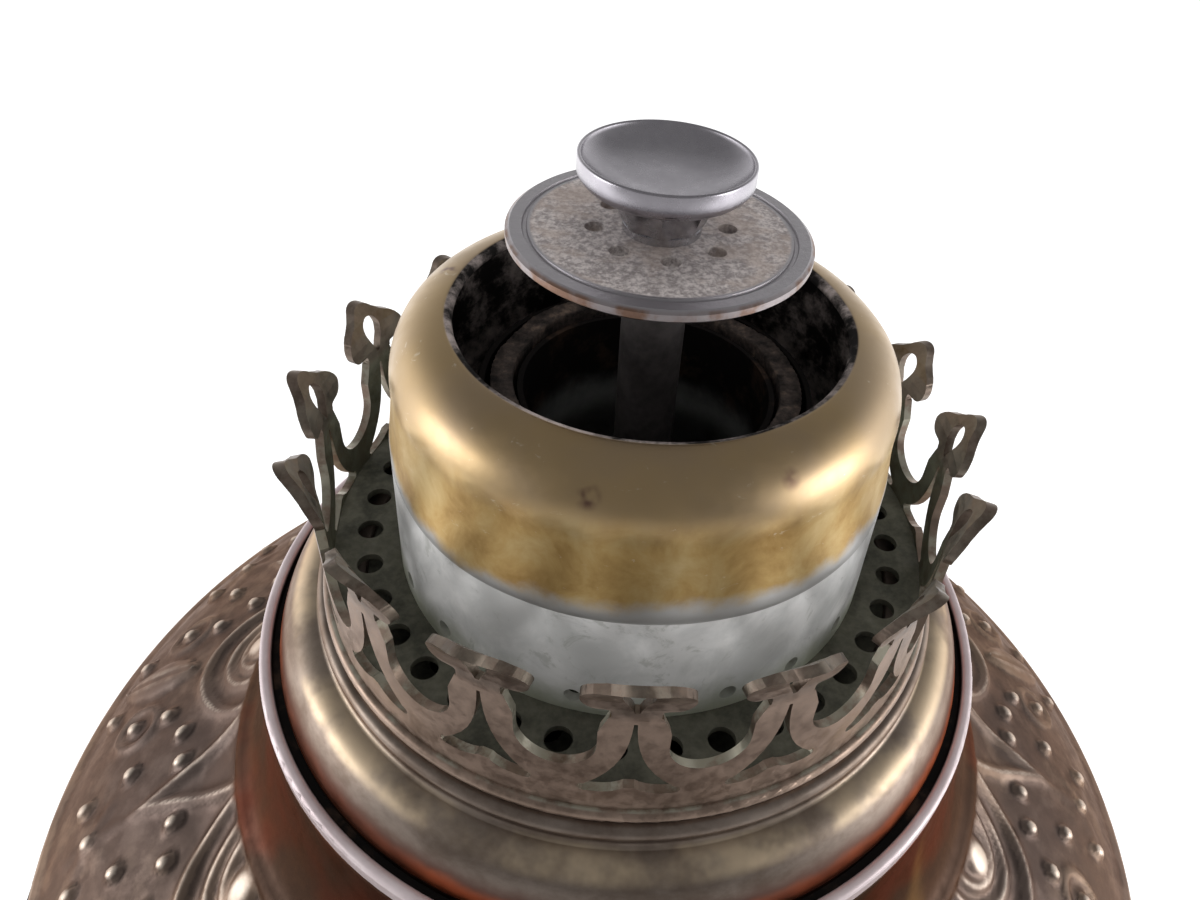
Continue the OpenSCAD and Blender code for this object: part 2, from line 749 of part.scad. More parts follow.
// Outline of the pinion, with a tooth on +X
function pinion_outline() = let (
    base_r = pitch_r * cos(pressure),
    tip_r = pitch_r + addendum - 0.05,
    root_r = pitch_r - dedendum,
    t_pitch = sqrt(pow(pitch_r / base_r, 2) - 1),
    t_tip = sqrt(pow(tip_r / base_r, 2) - 1),
    swing = t_pitch * 180 / PI - pressure,
    half = 90 / pinion_teeth - backlash / 4 / pitch_r * 180 / PI + swing,
    flank = [for (i = [0:4]) involute(base_r, t_tip * i / 4)])
    [for (k = [0:pinion_teeth - 1]) each let (a = k * 360 / pinion_teeth) concat(
        [root_r * [cos(a - half), sin(a - half)]],
        [for (p = flank) turned(p, a - half)],
        [for (i = [4:-1:0]) turned([flank[i][0], -flank[i][1]], a + half)],
        [root_r * [cos(a + half), sin(a + half)]])];

module winder_pinion() color("gold") {
    translate([0, rack_y0, spindle_z]) rotate([-90, 0, 0]) difference() {
        linear_extrude(rack_y1 - rack_y0) polygon(pinion_outline());
        translate([0, 0, -eps]) cylinder(r = spindle_r, h = 6);
    }
}

// Knob with a notched rim, dished on its outer face
module winder_knob() color("darkgoldenrod") {
    translate([0, knob_y, spindle_z]) rotate([-90, 0, 0]) difference() {
        union() {
            cylinder(r = knob_r, h = knob_t);
            translate([0, 0, -2.4]) cylinder(r = 3.2, h = 3);
        }
        translate([0, 0, knob_t - 1]) cylinder(r = knob_r - 2.6, h = 2);
        translate([0, 0, -3]) cylinder(r = spindle_r, h = knob_t + 4);
        around(knob_notches) translate([knob_r + 0.25, 0, -eps])
            cylinder(r = 0.7, h = knob_t + 2 * eps, $fn = 16);
    }
}

module wick() color("wheat") {
    ring(wick_r_out, wick_r_in, wick_top_z - wick_len, wick_top_z);
}

carrier_z = wick_top_z - wick_len + 4;
carrier_h = 7;

// Ring that grips the wick, with the tab that the rack is riveted to
module wick_carrier() color("silver") {
    tab_x = pitch_r + dedendum + 0.3;
    ring(wick_r_out + 1, wick_r_out + 0.05, carrier_z, carrier_z + carrier_h);
    difference() {
        translate([tab_x, wick_r_out - 1, carrier_z + 1])
            cube([rack_back - tab_x, rack_y0 - wick_r_out + 1, 5]);
        translate([0, 0, carrier_z]) cylinder(r = wick_r_out + 0.6, h = carrier_h);
    }
}

rack_teeth = 16;
rack_teeth_low = -6;

// Rack outline in X and Z, with a gap level with the spindle
function rack_outline() = let (
    w = tooth_pitch / 4 - backlash / 4,
    w_tip = w - addendum * tan(pressure),
    w_root = w + dedendum * tan(pressure),
    x_tip = pitch_r - (addendum - 0.05),
    x_root = pitch_r + dedendum)
    concat([[rack_back, carrier_z - spindle_z + 1], [x_root, carrier_z - spindle_z + 1]],
        [for (k = [rack_teeth_low:rack_teeth_low + rack_teeth - 1]) each let (z = (k + 0.5) * tooth_pitch)
            [[x_root, z - w_root], [x_tip, z - w_tip], [x_tip, z + w_tip], [x_root, z + w_root]]],
        [[x_root, rack_high], [rack_back, rack_high]]);

module wick_rack() color("gold") {
    translate([0, rack_y1, spindle_z]) rotate([90, 0, 0])
        linear_extrude(rack_y1 - rack_y0) polygon(rack_outline());
}

// Gallery wall, straight to the necks and flared above them
function gallery_outline() = concat([[gallery_r, dome_top_z], [gallery_r, neck_z - 1]],
    curve([gallery_r, neck_z - 0.4], [gallery_r, neck_z + 2.2],
        [gallery_r + 0.3, neck_z + 3], [gallery_r + 0.9, neck_z + 4.4], 4),
    [[gallery_r + head_flare + 0.3, tip_z + 1]]);

// Half width of a neck, where the two arms of a head meet
neck_half = head_w * 0.22;

// Flat shape of a head: neck, two round side lobes, and a round tip
module head_shape() {
    lobe = head_w * 0.155;
    lobe_x = head_w / 2 - lobe;
    lobe_z = neck_z + head_up * 0.4;
    tip_r = head_up * 0.32;
    right = concat([[neck_half, neck_z - 2]],
        curve([neck_half, neck_z - 0.2], [neck_half, neck_z + 1.1],
            [lobe_x - lobe, lobe_z - lobe], [lobe_x, lobe_z - lobe], 5),
        curve([head_w / 2 - 0.1, lobe_z + 0.4], [head_w / 2 - 0.8, lobe_z + lobe * 1.5],
            [tip_r + 1, tip_z - tip_r * 1.1], [tip_r * 0.7, tip_z - tip_r * 0.3], 5));
    polygon(concat(right, [for (q = backwards(right)) [-q[0], q[1]]]));
    for (side = [-1, 1]) translate([side * lobe_x, lobe_z]) circle(lobe, $fn = 24);
    translate([0, tip_z - tip_r]) circle(tip_r, $fn = 32);
}

// Teardrop in a head, its point towards the neck
module head_hole() {
    r = head_w * 0.14;
    z = neck_z + head_up * 0.58;
    right = curve([r * 0.96, z - r * 0.3], [r * 0.75, z - r * 1.2],
        [0.5, neck_z + 1.9], [0.2, neck_z + 0.8], 4);
    translate([0, z]) circle(r, $fn = 24);
    polygon(concat(right, [for (q = backwards(right)) [-q[0], q[1]]]));
}

// Opening of a U, a little wider where it opens between two heads
module u_shape() {
    top = neck_z - 2.4;
    translate([0, u_centre_z]) circle(u_gap / 2, $fn = 40);
    translate([-u_gap / 2, u_centre_z]) square([u_gap, top - u_centre_z]);
    polygon([[-u_gap / 2, top - 0.01], [u_gap / 2, top - 0.01],
        [u_half - neck_half, neck_z + 0.4], [neck_half - u_half, neck_z + 0.4]]);
}

// Gap between the two arms of a head: a slit that widens downwards, runs out in a
// horn under each U, and leaves a hump of the base band in its middle
module gap_shape() {
    horn_x = u_half * 0.68;
    right = concat(
        curve([0.16, neck_z - 0.9], [0.3, neck_z - 4.6],
            [0.9, neck_z - 8], [horn_x - 0.5, band_top_z + 1.1], 8),
        arc([horn_x - 0.45, band_top_z + 0.55], 0.55, 60, -90, 4),
        curve([horn_x - 1.4, band_top_z], [horn_x - 2.6, band_top_z],
            [0.9, band_top_z + 0.5], [0.5, band_top_z + 0.95], 4));
    polygon(concat(right, [for (q = backwards(right)) [-q[0], q[1]]]));
}

// Radial cutter or keeper of a flat shape, through the gallery wall
module through_wall() {
    rotate([90, 0, 90]) translate([0, 0, gallery_r - 4]) linear_extrude(12) children();
}

module gallery_ring() color("sienna") {
    front = gallery_turn - 90;
    difference() {
        union() {
            intersection() {
                spun_sheet(gallery_outline(), gallery_t);
                union() {
                    translate([0, 0, dome_top_z - 1])
                        cylinder(r = gallery_r + 8, h = neck_z - dome_top_z + 1);
                    around(head_count, front) through_wall() head_shape();
                }
            }
            translate([0, 0, dome_top_z]) rotate_extrude() {
                translate([gallery_r, 0.8]) circle(0.8, $fn = 24);
            }
        }
        around(head_count, front + pitch_angle / 2) through_wall() u_shape();
        around(head_count, front) through_wall() gap_shape();
        around(head_count, front) through_wall() head_hole();
    }
}

// Plate that carries the deflector: solid under the tube, pierced out to the gallery wall
module air_plate() color("darkkhaki") {
    inner = cap_r_foot - deflector_t - plate_lip;
    outer = gallery_r - gallery_t;
    hole_ring = (outer + cap_r_foot) / 2;
    difference() {
        ring(outer, inner, plate_z, tube_foot_z);
        around(plate_holes) translate([hole_ring, 0, plate_z - eps])
            cylinder(r = plate_hole_r, h = plate_t + 2 * eps, $fn = 24);
    }
}

module deflector_tube() color("gainsboro") {
    foot_r = cap_r_foot + 0.3;
    difference() {
        translate([0, 0, tube_foot_z]) cylinder(r1 = foot_r, r2 = cap_r_foot, h = seam_z - tube_foot_z);
        translate([0, 0, tube_foot_z - eps])
            cylinder(r = cap_r_foot - deflector_t, h = seam_z - tube_foot_z + 2 * eps);
        around(tube_holes, 7 - 90) translate([cap_r_foot - 3, 0, tube_foot_z + 2.3])
            rotate([0, 90, 0]) cylinder(r = 0.9, h = 6, $fn = 24);
    }
}

// Cap: wall, rounded shoulder and a lip that dips to the mouth
function cap_outline() = let (lip_turn = acos(max(0, (mouth_r + 0.7 - cap_r + cap_round) / cap_round)))
    concat([[cap_r_foot, seam_z], [cap_r_foot, seam_z + 1.6]],
        arc([cap_r - cap_round, mouth_z - cap_round], cap_round, 0, lip_turn, 24),
        [[mouth_r + 0.25, mouth_z - 0.15], [mouth_r, mouth_z - 0.5]]);

module deflector_cap() color("goldenrod") spun_sheet(cap_outline(), deflector_t);

module spreader_disc() color("dimgray") {
    translate([0, 0, disc_z]) difference() {
        rotate_extrude() polygon([[pin_r, -disc_t], [disc_r - 0.2, -disc_t], [disc_r, 0.2 - disc_t],
            [disc_r, -0.3], [disc_r - 0.4, 0], [disc_r - 1.5, 0], [disc_r - 1.6, -0.2],
            [disc_r - 1.9, -0.2], [disc_r - 2, 0], [pin_r, 0]]);
        around(disc_holes, 10 - 90) translate([disc_hole_ring, 0, -disc_t - eps])
            cylinder(r = 0.95, h = disc_t + 2 * eps, $fn = 24);
    }
}

// Neck nut: a round collar on the disc, and eight flats that widen up to the button
module spreader_neck() color("gray") {
    collar_h = 0.7;
    collar_r = button_seat_r - 1.3;
    nut_z = disc_z + collar_h;
    difference() {
        union() {
            translate([0, 0, disc_z]) cylinder(r = collar_r, h = collar_h);
            translate([0, 0, nut_z])
                cylinder(r1 = collar_r + 0.2, r2 = button_seat_r, h = button_low_z - nut_z, $fn = 8);
        }
        translate([0, 0, disc_z - eps]) cylinder(r = pin_r, h = button_low_z - disc_z + 2 * eps);
    }
}

// Button: tapered underside, upright side, thin lip and a dished top
module spreader_button() color("slategray") {
    side_z = button_z - button_side;
    lip = 0.4;
    rotate_extrude() polygon(concat([[0, button_low_z], [button_seat_r, button_low_z]],
        curve([button_seat_r + 0.2, button_low_z + 0.2], [button_seat_r + 1.4, button_low_z + 0.9],
            [button_r - 0.4, side_z - 0.5], [button_r - 0.05, side_z], 5),
        [[button_r, button_z - 0.25], [button_r - 0.12, button_z - 0.04], [button_r - lip, button_z]],
        curve([button_r - lip - 0.15, button_z - 0.1], [button_r * 0.6, button_z - button_dish * 0.75],
            [button_r * 0.25, button_z - button_dish], [0, button_z - button_dish], 14)));
}

module spreader_stem() color("dimgray") {
    low = spider_z - 1;
    shoulder_z = disc_z - disc_t;
    translate([0, 0, low]) cylinder(r = stem_r, h = shoulder_z - low);
    translate([0, 0, shoulder_z - eps]) cylinder(r = pin_r, h = button_low_z - shoulder_z + eps);
}

// Spider: a hub on the stem, three arms and the ring that centres it in the tube
module spreader_spider() color("darkgray") {
    ring_r = draught_r - draught_wall - fit;
    difference() {
        union() {
            translate([0, 0, spider_z]) cylinder(r = stem_r + 1.4, h = spider_h);
            around(3, 30) translate([stem_r, -0.6, spider_z]) cube([ring_r - stem_r - 0.3, 1.2, spider_h]);
            ring(ring_r, ring_r - 0.7, spider_z, spider_z + spider_h);
        }
        translate([0, 0, spider_z - eps]) cylinder(r = stem_r, h = spider_h + 2 * eps);
    }
}

base_cover();
plinth_shell();
base_weight();
rod_washer();
rod_nut_lower();
tie_rod();
column_base();
column_shaft();
shaft_astragal();
capital_bell();
capital_leaves();
capital_volutes();
abacus();
air_gallery();
rod_nut_upper();
vase_bowl();
vase_band();
vase_shoulder();
neck_rim();
tank_flange();
tank_wall();
tank_bottom();
draught_tube();
burner_dome();
burner_floor();
wick_tube();
spindle_gland();
winder_spindle();
winder_pinion();
winder_knob();
wick();
wick_carrier();
wick_rack();
gallery_ring();
air_plate();
deflector_tube();
deflector_cap();
spreader_disc();
spreader_neck();
spreader_button();
spreader_stem();
spreader_spider();
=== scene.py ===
"""Looks of the column lamp.

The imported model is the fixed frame. This script dresses every one of its nodes, replaces the
plain turned, embossed, leafy and woven ones with finer surfaces in the same places, and sets
the lights, the floor and the camera. Lengths are in metres unless a name says mm.
"""
from __future__ import annotations

import json
import logging
import math
from dataclasses import dataclass, replace
from enum import Enum

import bpy
import numpy as np
from mathutils import Matrix, Vector

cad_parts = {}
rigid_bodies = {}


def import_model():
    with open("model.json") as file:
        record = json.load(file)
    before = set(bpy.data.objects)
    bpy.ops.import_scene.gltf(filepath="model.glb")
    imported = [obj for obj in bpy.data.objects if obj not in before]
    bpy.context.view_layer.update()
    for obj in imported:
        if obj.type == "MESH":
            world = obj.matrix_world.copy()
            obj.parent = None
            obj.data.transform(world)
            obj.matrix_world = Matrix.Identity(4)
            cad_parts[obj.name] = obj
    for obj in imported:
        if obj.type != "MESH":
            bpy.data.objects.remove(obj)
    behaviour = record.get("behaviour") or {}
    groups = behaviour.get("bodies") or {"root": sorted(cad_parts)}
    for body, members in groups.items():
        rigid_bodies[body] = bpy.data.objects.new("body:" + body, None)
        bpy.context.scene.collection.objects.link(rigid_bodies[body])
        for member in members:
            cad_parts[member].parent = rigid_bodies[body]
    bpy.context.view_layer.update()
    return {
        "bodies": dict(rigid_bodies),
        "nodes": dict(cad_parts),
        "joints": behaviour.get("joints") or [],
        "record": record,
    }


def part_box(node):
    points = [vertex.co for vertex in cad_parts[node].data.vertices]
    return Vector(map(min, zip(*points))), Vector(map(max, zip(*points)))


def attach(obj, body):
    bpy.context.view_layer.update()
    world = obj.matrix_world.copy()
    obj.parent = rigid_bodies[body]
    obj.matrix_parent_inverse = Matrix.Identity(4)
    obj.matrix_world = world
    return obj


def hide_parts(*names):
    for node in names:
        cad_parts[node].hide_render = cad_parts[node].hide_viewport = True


log = logging.getLogger("column_lamp")
MM = 0.001
Colour = tuple[float, float, float]
Point = tuple[float, float]
Socket = bpy.types.NodeSocket
Object = bpy.types.Object
Material = bpy.types.Material
SOOT: Colour = (0.010, 0.0085, 0.008)


def smoothstep(x: np.ndarray, low: float, high: float) -> np.ndarray:
    """Rise smoothly from 0 at low to 1 at high.

    Args:
        x: Values to weigh.
        low: Value at which the rise starts.
        high: Value at which it ends.

    Returns:
        t * t * (3 - 2t), where t is x's share of the way from low to high.
    """
    t = np.clip((x - low) / (high - low), 0.0, 1.0)
    return t * t * (3.0 - 2.0 * t)


def bezier(p: Point, q: Point, r: Point, s: Point, count: int) -> np.ndarray:
    """Points on a cubic curve.

    Args:
        p: First end.
        q: Handle of the first end.
        r: Handle of the last end.
        s: Last end.
        count: Number of points.

    Returns:
        Array of count points: u^3 p + 3 u^2 t q + 3 u t^2 r + t^3 s, with u = 1 - t.
    """
    t = np.linspace(0.0, 1.0, count)[:, None]
    u = 1.0 - t
    ends = u**3 * np.array(p) + t**3 * np.array(s)
    return ends + 3 * u * u * t * np.array(q) + 3 * u * t * t * np.array(r)


def arc(centre: Point, radius: float, first: float, last: float, count: int) -> np.ndarray:
    """Points on a circle, from the angle first to the angle last, in degrees."""
    turn = np.radians(np.linspace(first, last, count))
    return np.array(centre) + radius * np.stack([np.cos(turn), np.sin(turn)], axis=1)


def path_of(*stretches: np.ndarray | list[Point]) -> np.ndarray:
    """Join stretches of an outline, leaving out a point that repeats the one before it."""
    joined = np.vstack([np.asarray(stretch, dtype=float) for stretch in stretches])
    keep = np.concatenate([[True], np.linalg.norm(np.diff(joined, axis=0), axis=1) > 1e-7])
    return joined[keep]


def arc_length(path: np.ndarray) -> np.ndarray:
    """Distance along a path at each of its points, from 0 at its first point."""
    return np.concatenate([[0.0], np.cumsum(np.linalg.norm(np.diff(path, axis=0), axis=1))])


def resample(path: np.ndarray, count: int) -> np.ndarray:
    """The same path with count points, equally far apart along it."""
    s = arc_length(path)
    at = np.linspace(0.0, s[-1], count)
    return np.stack([np.interp(at, s, path[:, k]) for k in range(path.shape[1])], axis=1)


def profile_normals(path: np.ndarray) -> np.ndarray:
    """Unit normals of a flat path, each turned a quarter right from the path's direction."""
    d = np.gradient(path, axis=0)
    n = np.stack([d[:, 1], -d[:, 0]], axis=1)
    return n / np.linalg.norm(n, axis=1, keepdims=True)


def sheet_section(outer: np.ndarray, wall: float) -> np.ndarray:
    """Closed section of a sheet whose outside is given.

    The inside is the outside moved by the wall against its normals. Each edge is a half circle
    of three points between the two.

    Args:
        outer: Outline of the outside, from the foot up, shape (n, 2).
        wall: Thickness of the sheet.

    Returns:
        Points of the closed outline.
    """
    normal = profile_normals(outer)
    inner = outer - wall * normal
    turn = np.radians([45.0, 90.0, 135.0])[:, None]

    def edge(at: int, side: float) -> np.ndarray:
        middle = (outer[at] + inner[at]) / 2
        ahead = side * np.array([-normal[at, 1], normal[at, 0]])
        return middle + wall / 2 * (np.cos(turn) * normal[at] + np.sin(turn) * ahead)

    return np.vstack([outer, edge(-1, 1.0), inner[::-1], edge(0, -1.0)[::-1]])


def new_object(name: str, points: np.ndarray, quads: np.ndarray, triangles: np.ndarray | None = None,
               values: dict[str, np.ndarray] | None = None) -> Object:
    """Object from points and faces, smooth shaded.

    The faces are turned so that the volume they enclose is positive: the sum over all faces of the
    triple product of three corners, with each four-sided face taken as two halves.

    Args:
        name: Name of the object.
        points: Array of shape (n, 3).
        quads: Array of shape (m, 4) of indices.
        triangles: Array of shape (k, 3) of indices, if there are any.
        values: Named arrays of n numbers, kept as attributes on the points.

    Returns:
        The new object, linked to the scene.
    """
    threes = np.zeros((0, 3), dtype=int) if triangles is None else triangles
    halves = np.vstack([quads[:, [0, 1, 2]], quads[:, [0, 2, 3]], threes])
    a, b, c = (points[halves[:, k]] for k in range(3))
    if np.einsum("ij,ij->i", a, np.cross(b, c)).sum() < 0:
        quads, threes = quads[:, ::-1], threes[:, ::-1]
    corners = np.concatenate([quads.ravel(), threes.ravel()]).astype(np.int32)
    starts = np.concatenate([np.arange(len(quads)) * 4, quads.size + np.arange(len(threes)) * 3]).astype(np.int32)
    mesh = bpy.data.meshes.new(name)
    mesh.vertices.add(len(points))
    mesh.vertices.foreach_set("co", points.astype(np.float32).ravel())
    mesh.loops.add(len(corners))
    mesh.loops.foreach_set("vertex_index", corners)
    mesh.polygons.add(len(starts))
    mesh.polygons.foreach_set("loop_start", starts)
    mesh.update(calc_edges=True)
    mesh.shade_smooth()
    for key, value in (values or {}).items():
        attribute = mesh.attributes.new(key, "FLOAT", "POINT")
        attribute.data.foreach_set("value", value.astype(np.float32).ravel())
    obj = bpy.data.objects.new(name, mesh)
    bpy.context.scene.collection.objects.link(obj)
    return obj


def ring_mesh(name: str, points: np.ndarray, values: dict[str, np.ndarray] | None = None) -> Object:
    """Object from a grid of points that closes on itself in both directions.

    Args:
        name: Name of the object.
        points: Array of shape (rows, columns, 3).
        values: Named arrays of shape (rows, columns), kept as attributes.

    Returns:
        The object: each cell of the grid, wrapped round at both ends, is one face.
    """
    rows, cols, _ = points.shape
    index = np.arange(rows * cols).reshape(rows, cols)
    right, down = np.roll(index, -1, axis=1), np.roll(index, -1, axis=0)
    faces = np.stack([index, right, np.roll(right, -1, axis=0), down], axis=-1).reshape(-1, 4)
    return new_object(name, points.reshape(-1, 3), faces, values=values)


def slab_mesh(name: str, front: np.ndarray, back: np.ndarray) -> Object:
    """Object from the two faces of many thin slabs.

    Args:
        name: Name of the object.
        front: Array of shape (slabs, rows, columns, 3).
        back: The same grid on the other side of each slab.

    Returns:
        The object. The cells of both grids are faces, and the four borders are joined by walls.
    """
    slabs, rows, cols, _ = front.shape
    one = np.arange(rows * cols).reshape(rows, cols)
    other = one + rows * cols
    cells = [np.stack([g[:-1, :-1], g[:-1, 1:], g[1:, 1:], g[1:, :-1]], -1).reshape(-1, 4) for g in (one, other)]
    cells[1] = cells[1][:, ::-1]
    border = np.concatenate([one[0, :], one[1:, -1], one[-1, -2::-1], one[-2:0:-1, 0]])
    after = np.roll(border, -1)
    shift = rows * cols
    walls = np.stack([after, border, border + shift, after + shift], -1)
    faces = np.vstack([*cells, walls])
    faces = (faces[None] + (np.arange(slabs) * 2 * shift)[:, None, None]).reshape(-1, 4)
    points = np.stack([front, back], axis=1).reshape(-1, 3)
    return new_object(name, points, faces)


def spin(profile: np.ndarray, count: int) -> tuple[np.ndarray, np.ndarray]:
    """Grid of a profile of (radius, height) carried round the Z axis.

    Args:
        profile: Array of shape (n, 2).
        count: Number of steps round the axis.

    Returns:
        Points of shape (count, n, 3), and the angle of each row, 0 at the front and rising to +X.
    """
    angle = np.arange(count) * 2.0 * math.pi / count
    return around(profile, angle), angle


def around(profile: np.ndarray, angle: np.ndarray) -> np.ndarray:
    """Points of a profile of (radius, height) at each angle, 0 at the front and rising to +X."""
    radius, height = profile[None, :, 0], profile[None, :, 1]
    x, y = np.sin(angle)[:, None] * radius, -np.cos(angle)[:, None] * radius
    return np.stack([x, y, np.broadcast_to(height, x.shape)], axis=-1)


def dented(grid: np.ndarray, angle: np.ndarray, depth: float, seed: int) -> np.ndarray:
    """Push a turned grid in and out a little, as use does to thin sheet.

    The push at an angle a and a height z is the mean of eight waves sin(k a + c z + p), with seeded
    k of 2 to 11, c of up to one turn in 12 mm and p.

    Args:
        grid: Points of shape (rows, columns, 3).
        angle: Angle of each row.
        depth: Greatest push.
        seed: Seed of the waves.

    Returns:
        The moved points.
    """
    rng = np.random.default_rng(seed)
    push = np.zeros(grid.shape[:2])
    for _ in range(8):
        waves, climb, phase = rng.integers(2, 12), rng.uniform(-1, 1) / (12 * MM), rng.uniform(0, 2 * math.pi)
        push += np.sin(waves * angle[:, None] + 2 * math.pi * climb * grid[..., 2] + phase) / 8
    radius = np.hypot(grid[..., 0], grid[..., 1])
    share = 1.0 + depth * push / np.maximum(radius, 1 * MM)
    return np.stack([grid[..., 0] * share, grid[..., 1] * share, grid[..., 2]], axis=-1)


class Tree:
    """Short way to add and link the nodes of a material."""

    def __init__(self, name: str) -> None:
        """Start a material of that name with a principled shader.

        Args:
            name: The material's name.
        """
        self.material = bpy.data.materials.new(name)
        self.material.use_nodes = True
        self.nodes = self.material.node_tree.nodes
        self.links = self.material.node_tree.links
        self.shader = self.nodes["Principled BSDF"]
        self.place = self.nodes.new("ShaderNodeTexCoord").outputs["Object"]

    def set(self, **values: float | tuple[float, ...]) -> None:
        """Set sockets of the shader, named with _ for a space."""
        for key, value in values.items():
            self.shader.inputs[key.replace("_", " ")].default_value = value

    def feed(self, source: Socket, name: str) -> None:
        """Link an output to the shader's socket of that name."""
        self.links.new(source, self.shader.inputs[name])

    def plug(self, value: Socket | Colour | float, target: Socket) -> None:
        """Link an output to an input, or write a number or a colour on it."""
        if isinstance(value, Socket):
            self.links.new(value, target)
        elif isinstance(value, tuple):
            target.default_value = (*value, 1.0) if len(target.default_value) == 4 else value
        else:
            target.default_value = value

    def scaled(self, scale: Colour) -> Socket:
        """Object coordinates times scale."""
        node = self.nodes.new("ShaderNodeMapping")
        node.inputs["Scale"].default_value = scale
        self.links.new(self.place, node.inputs["Vector"])
        return node.outputs["Vector"]

    def noise(self, size: float, detail: float = 4.0, rough: float = 0.55, stretch: Colour = (1.0, 1.0, 1.0), warp: float = 0.0) -> Socket:
        """Noise of a feature size, from about 0.2 to 0.8.

        Args:
            size: Size of a feature in metres.
            detail: Number of octaves.
            rough: Share of the finer octaves.
            stretch: Scale along each axis; under 1 draws the features out.
            warp: Distortion.

        Returns:
            The noise.
        """
        node = self.nodes.new("ShaderNodeTexNoise")
        settings = {"Scale": 1.0 / size, "Detail": detail, "Roughness": rough, "Distortion": warp}
        for key, value in settings.items():
            node.inputs[key].default_value = value
        self.links.new(self.scaled(stretch), node.inputs["Vector"])
        return node.outputs["Fac"]

    def spots(self, size: float, reach: float) -> Socket:
        """Round spots, one in a cell of that size: 1 at the middle, 0 further than reach cells off."""
        node = self.nodes.new("ShaderNodeTexVoronoi")
        node.inputs["Scale"].default_value = 1.0 / size
        self.links.new(self.place, node.inputs["Vector"])
        return self.band(node.outputs["Distance"], reach, reach * 0.3)

    def band(self, value: Socket, low: float, high: float, to_low: float = 0.0, to_high: float = 1.0) -> Socket:
        """Value carried smoothly from low..high to to_low..to_high, held at the ends."""
        node = self.nodes.new("ShaderNodeMapRange")
        node.interpolation_type = "SMOOTHSTEP"
        for key, number in (("From Min", low), ("From Max", high), ("To Min", to_low), ("To Max", to_high)):
            node.inputs[key].default_value = number
        self.links.new(value, node.inputs["Value"])
        return node.outputs["Result"]

    def ramp(self, value: Socket, stops: list[tuple[float, Colour]]) -> Socket:
        """Colour along a ramp of (place, colour) stops, given in rising order."""
        node = self.nodes.new("ShaderNodeValToRGB")
        elements = node.color_ramp.elements
        elements[0].position, elements[1].position = stops[0][0], stops[-1][0]
        for place, _ in stops[1:-1]:
            elements.new(place)
        for element, (_, colour) in zip(elements, stops):
            element.color = (*colour, 1.0)
        self.links.new(value, node.inputs["Fac"])
        return node.outputs["Color"]

    def mix(self, share: Socket | float, first: Socket | Colour, second: Socket | Colour) -> Socket:
        """First colour where share is 0, second where it is 1."""
        node = self.nodes.new("ShaderNodeMix")
        node.data_type = "RGBA"
        for key, value in ((0, share), (6, first), (7, second)):
            self.plug(value, node.inputs[key])
        return node.outputs[2]

    def maths(self, operation: str, first: Socket | float, second: Socket | float) -> Socket:
        """One sum of outputs or numbers, held between 0 and 1."""
        node = self.nodes.new("ShaderNodeMath")
        node.operation = operation
        node.use_clamp = True
        self.plug(first, node.inputs[0])
        self.plug(second, node.inputs[1])
        return node.outputs[0]

    def attribute(self, name: str) -> Socket:
        """Value of a mesh attribute."""
        node = self.nodes.new("ShaderNodeAttribute")
        node.attribute_name = name
        return node.outputs["Fac"]

    def height(self, wander: float = 0.0) -> Socket:
        """The Z of the object coordinates, moved up by a noise times wander."""
        node = self.nodes.new("ShaderNodeSeparateXYZ")
        self.links.new(self.place, node.inputs[0])
        if not wander:
            return node.outputs["Z"]
        return self.maths("ADD", node.outputs["Z"], self.maths("MULTIPLY", self.noise(4 * MM, 5.0, 0.6), wander))

    def vector(self, operation: str, first: Socket, second: Socket | Colour | None = None) -> bpy.types.Node:
        """A vector sum, as its node."""
        node = self.nodes.new("ShaderNodeVectorMath")
        node.operation = operation
        self.links.new(first, node.inputs[0])
        if second is not None:
            self.plug(second, node.inputs[1])
        return node

    def radius(self) -> Socket:
        """Distance from the Z axis."""
        return self.vector("LENGTH", self.scaled((1.0, 1.0, 0.0))).outputs["Value"]

    def facing(self) -> Socket:
        """Share of the surface's normal that points away from the Z axis: -1 is inwards."""
        outwards = self.vector("NORMALIZE", self.scaled((1.0, 1.0, 0.0))).outputs["Vector"]
        normal = self.nodes.new("ShaderNodeNewGeometry").outputs["Normal"]
        return self.vector("DOT_PRODUCT", outwards, normal).outputs["Value"]

    def bump(self, height: Socket, strength: float, depth: float, under: Socket | None = None) -> Socket:
        """Bump from a height, on top of another bump if one is given.

        Args:
            height: Output that holds the height.
            strength: Strength of the bump.
            depth: Height in metres of a value of 1.
            under: Normal that this bump is laid on.

        Returns:
            The normal.
        """
        node = self.nodes.new("ShaderNodeBump")
        node.inputs["Strength"].default_value = strength
        node.inputs["Distance"].default_value = depth
        self.links.new(height, node.inputs["Height"])
        if under is not None:
            self.links.new(under, node.inputs["Normal"])
        return node.outputs["Normal"]

    def grain(self, scratch: float, pitting: float, along: Colour = (1.0, 1.0, 0.06)) -> None:
        """Give the shader fine scratches along one way and a shallow pitting."""
        lines = self.bump(self.noise(0.5 * MM, 2.0, 0.5, stretch=along), scratch, 0.004 * MM)
        self.feed(self.bump(self.noise(1.6 * MM, 6.0, 0.7), pitting, 0.03 * MM, lines), "Normal")


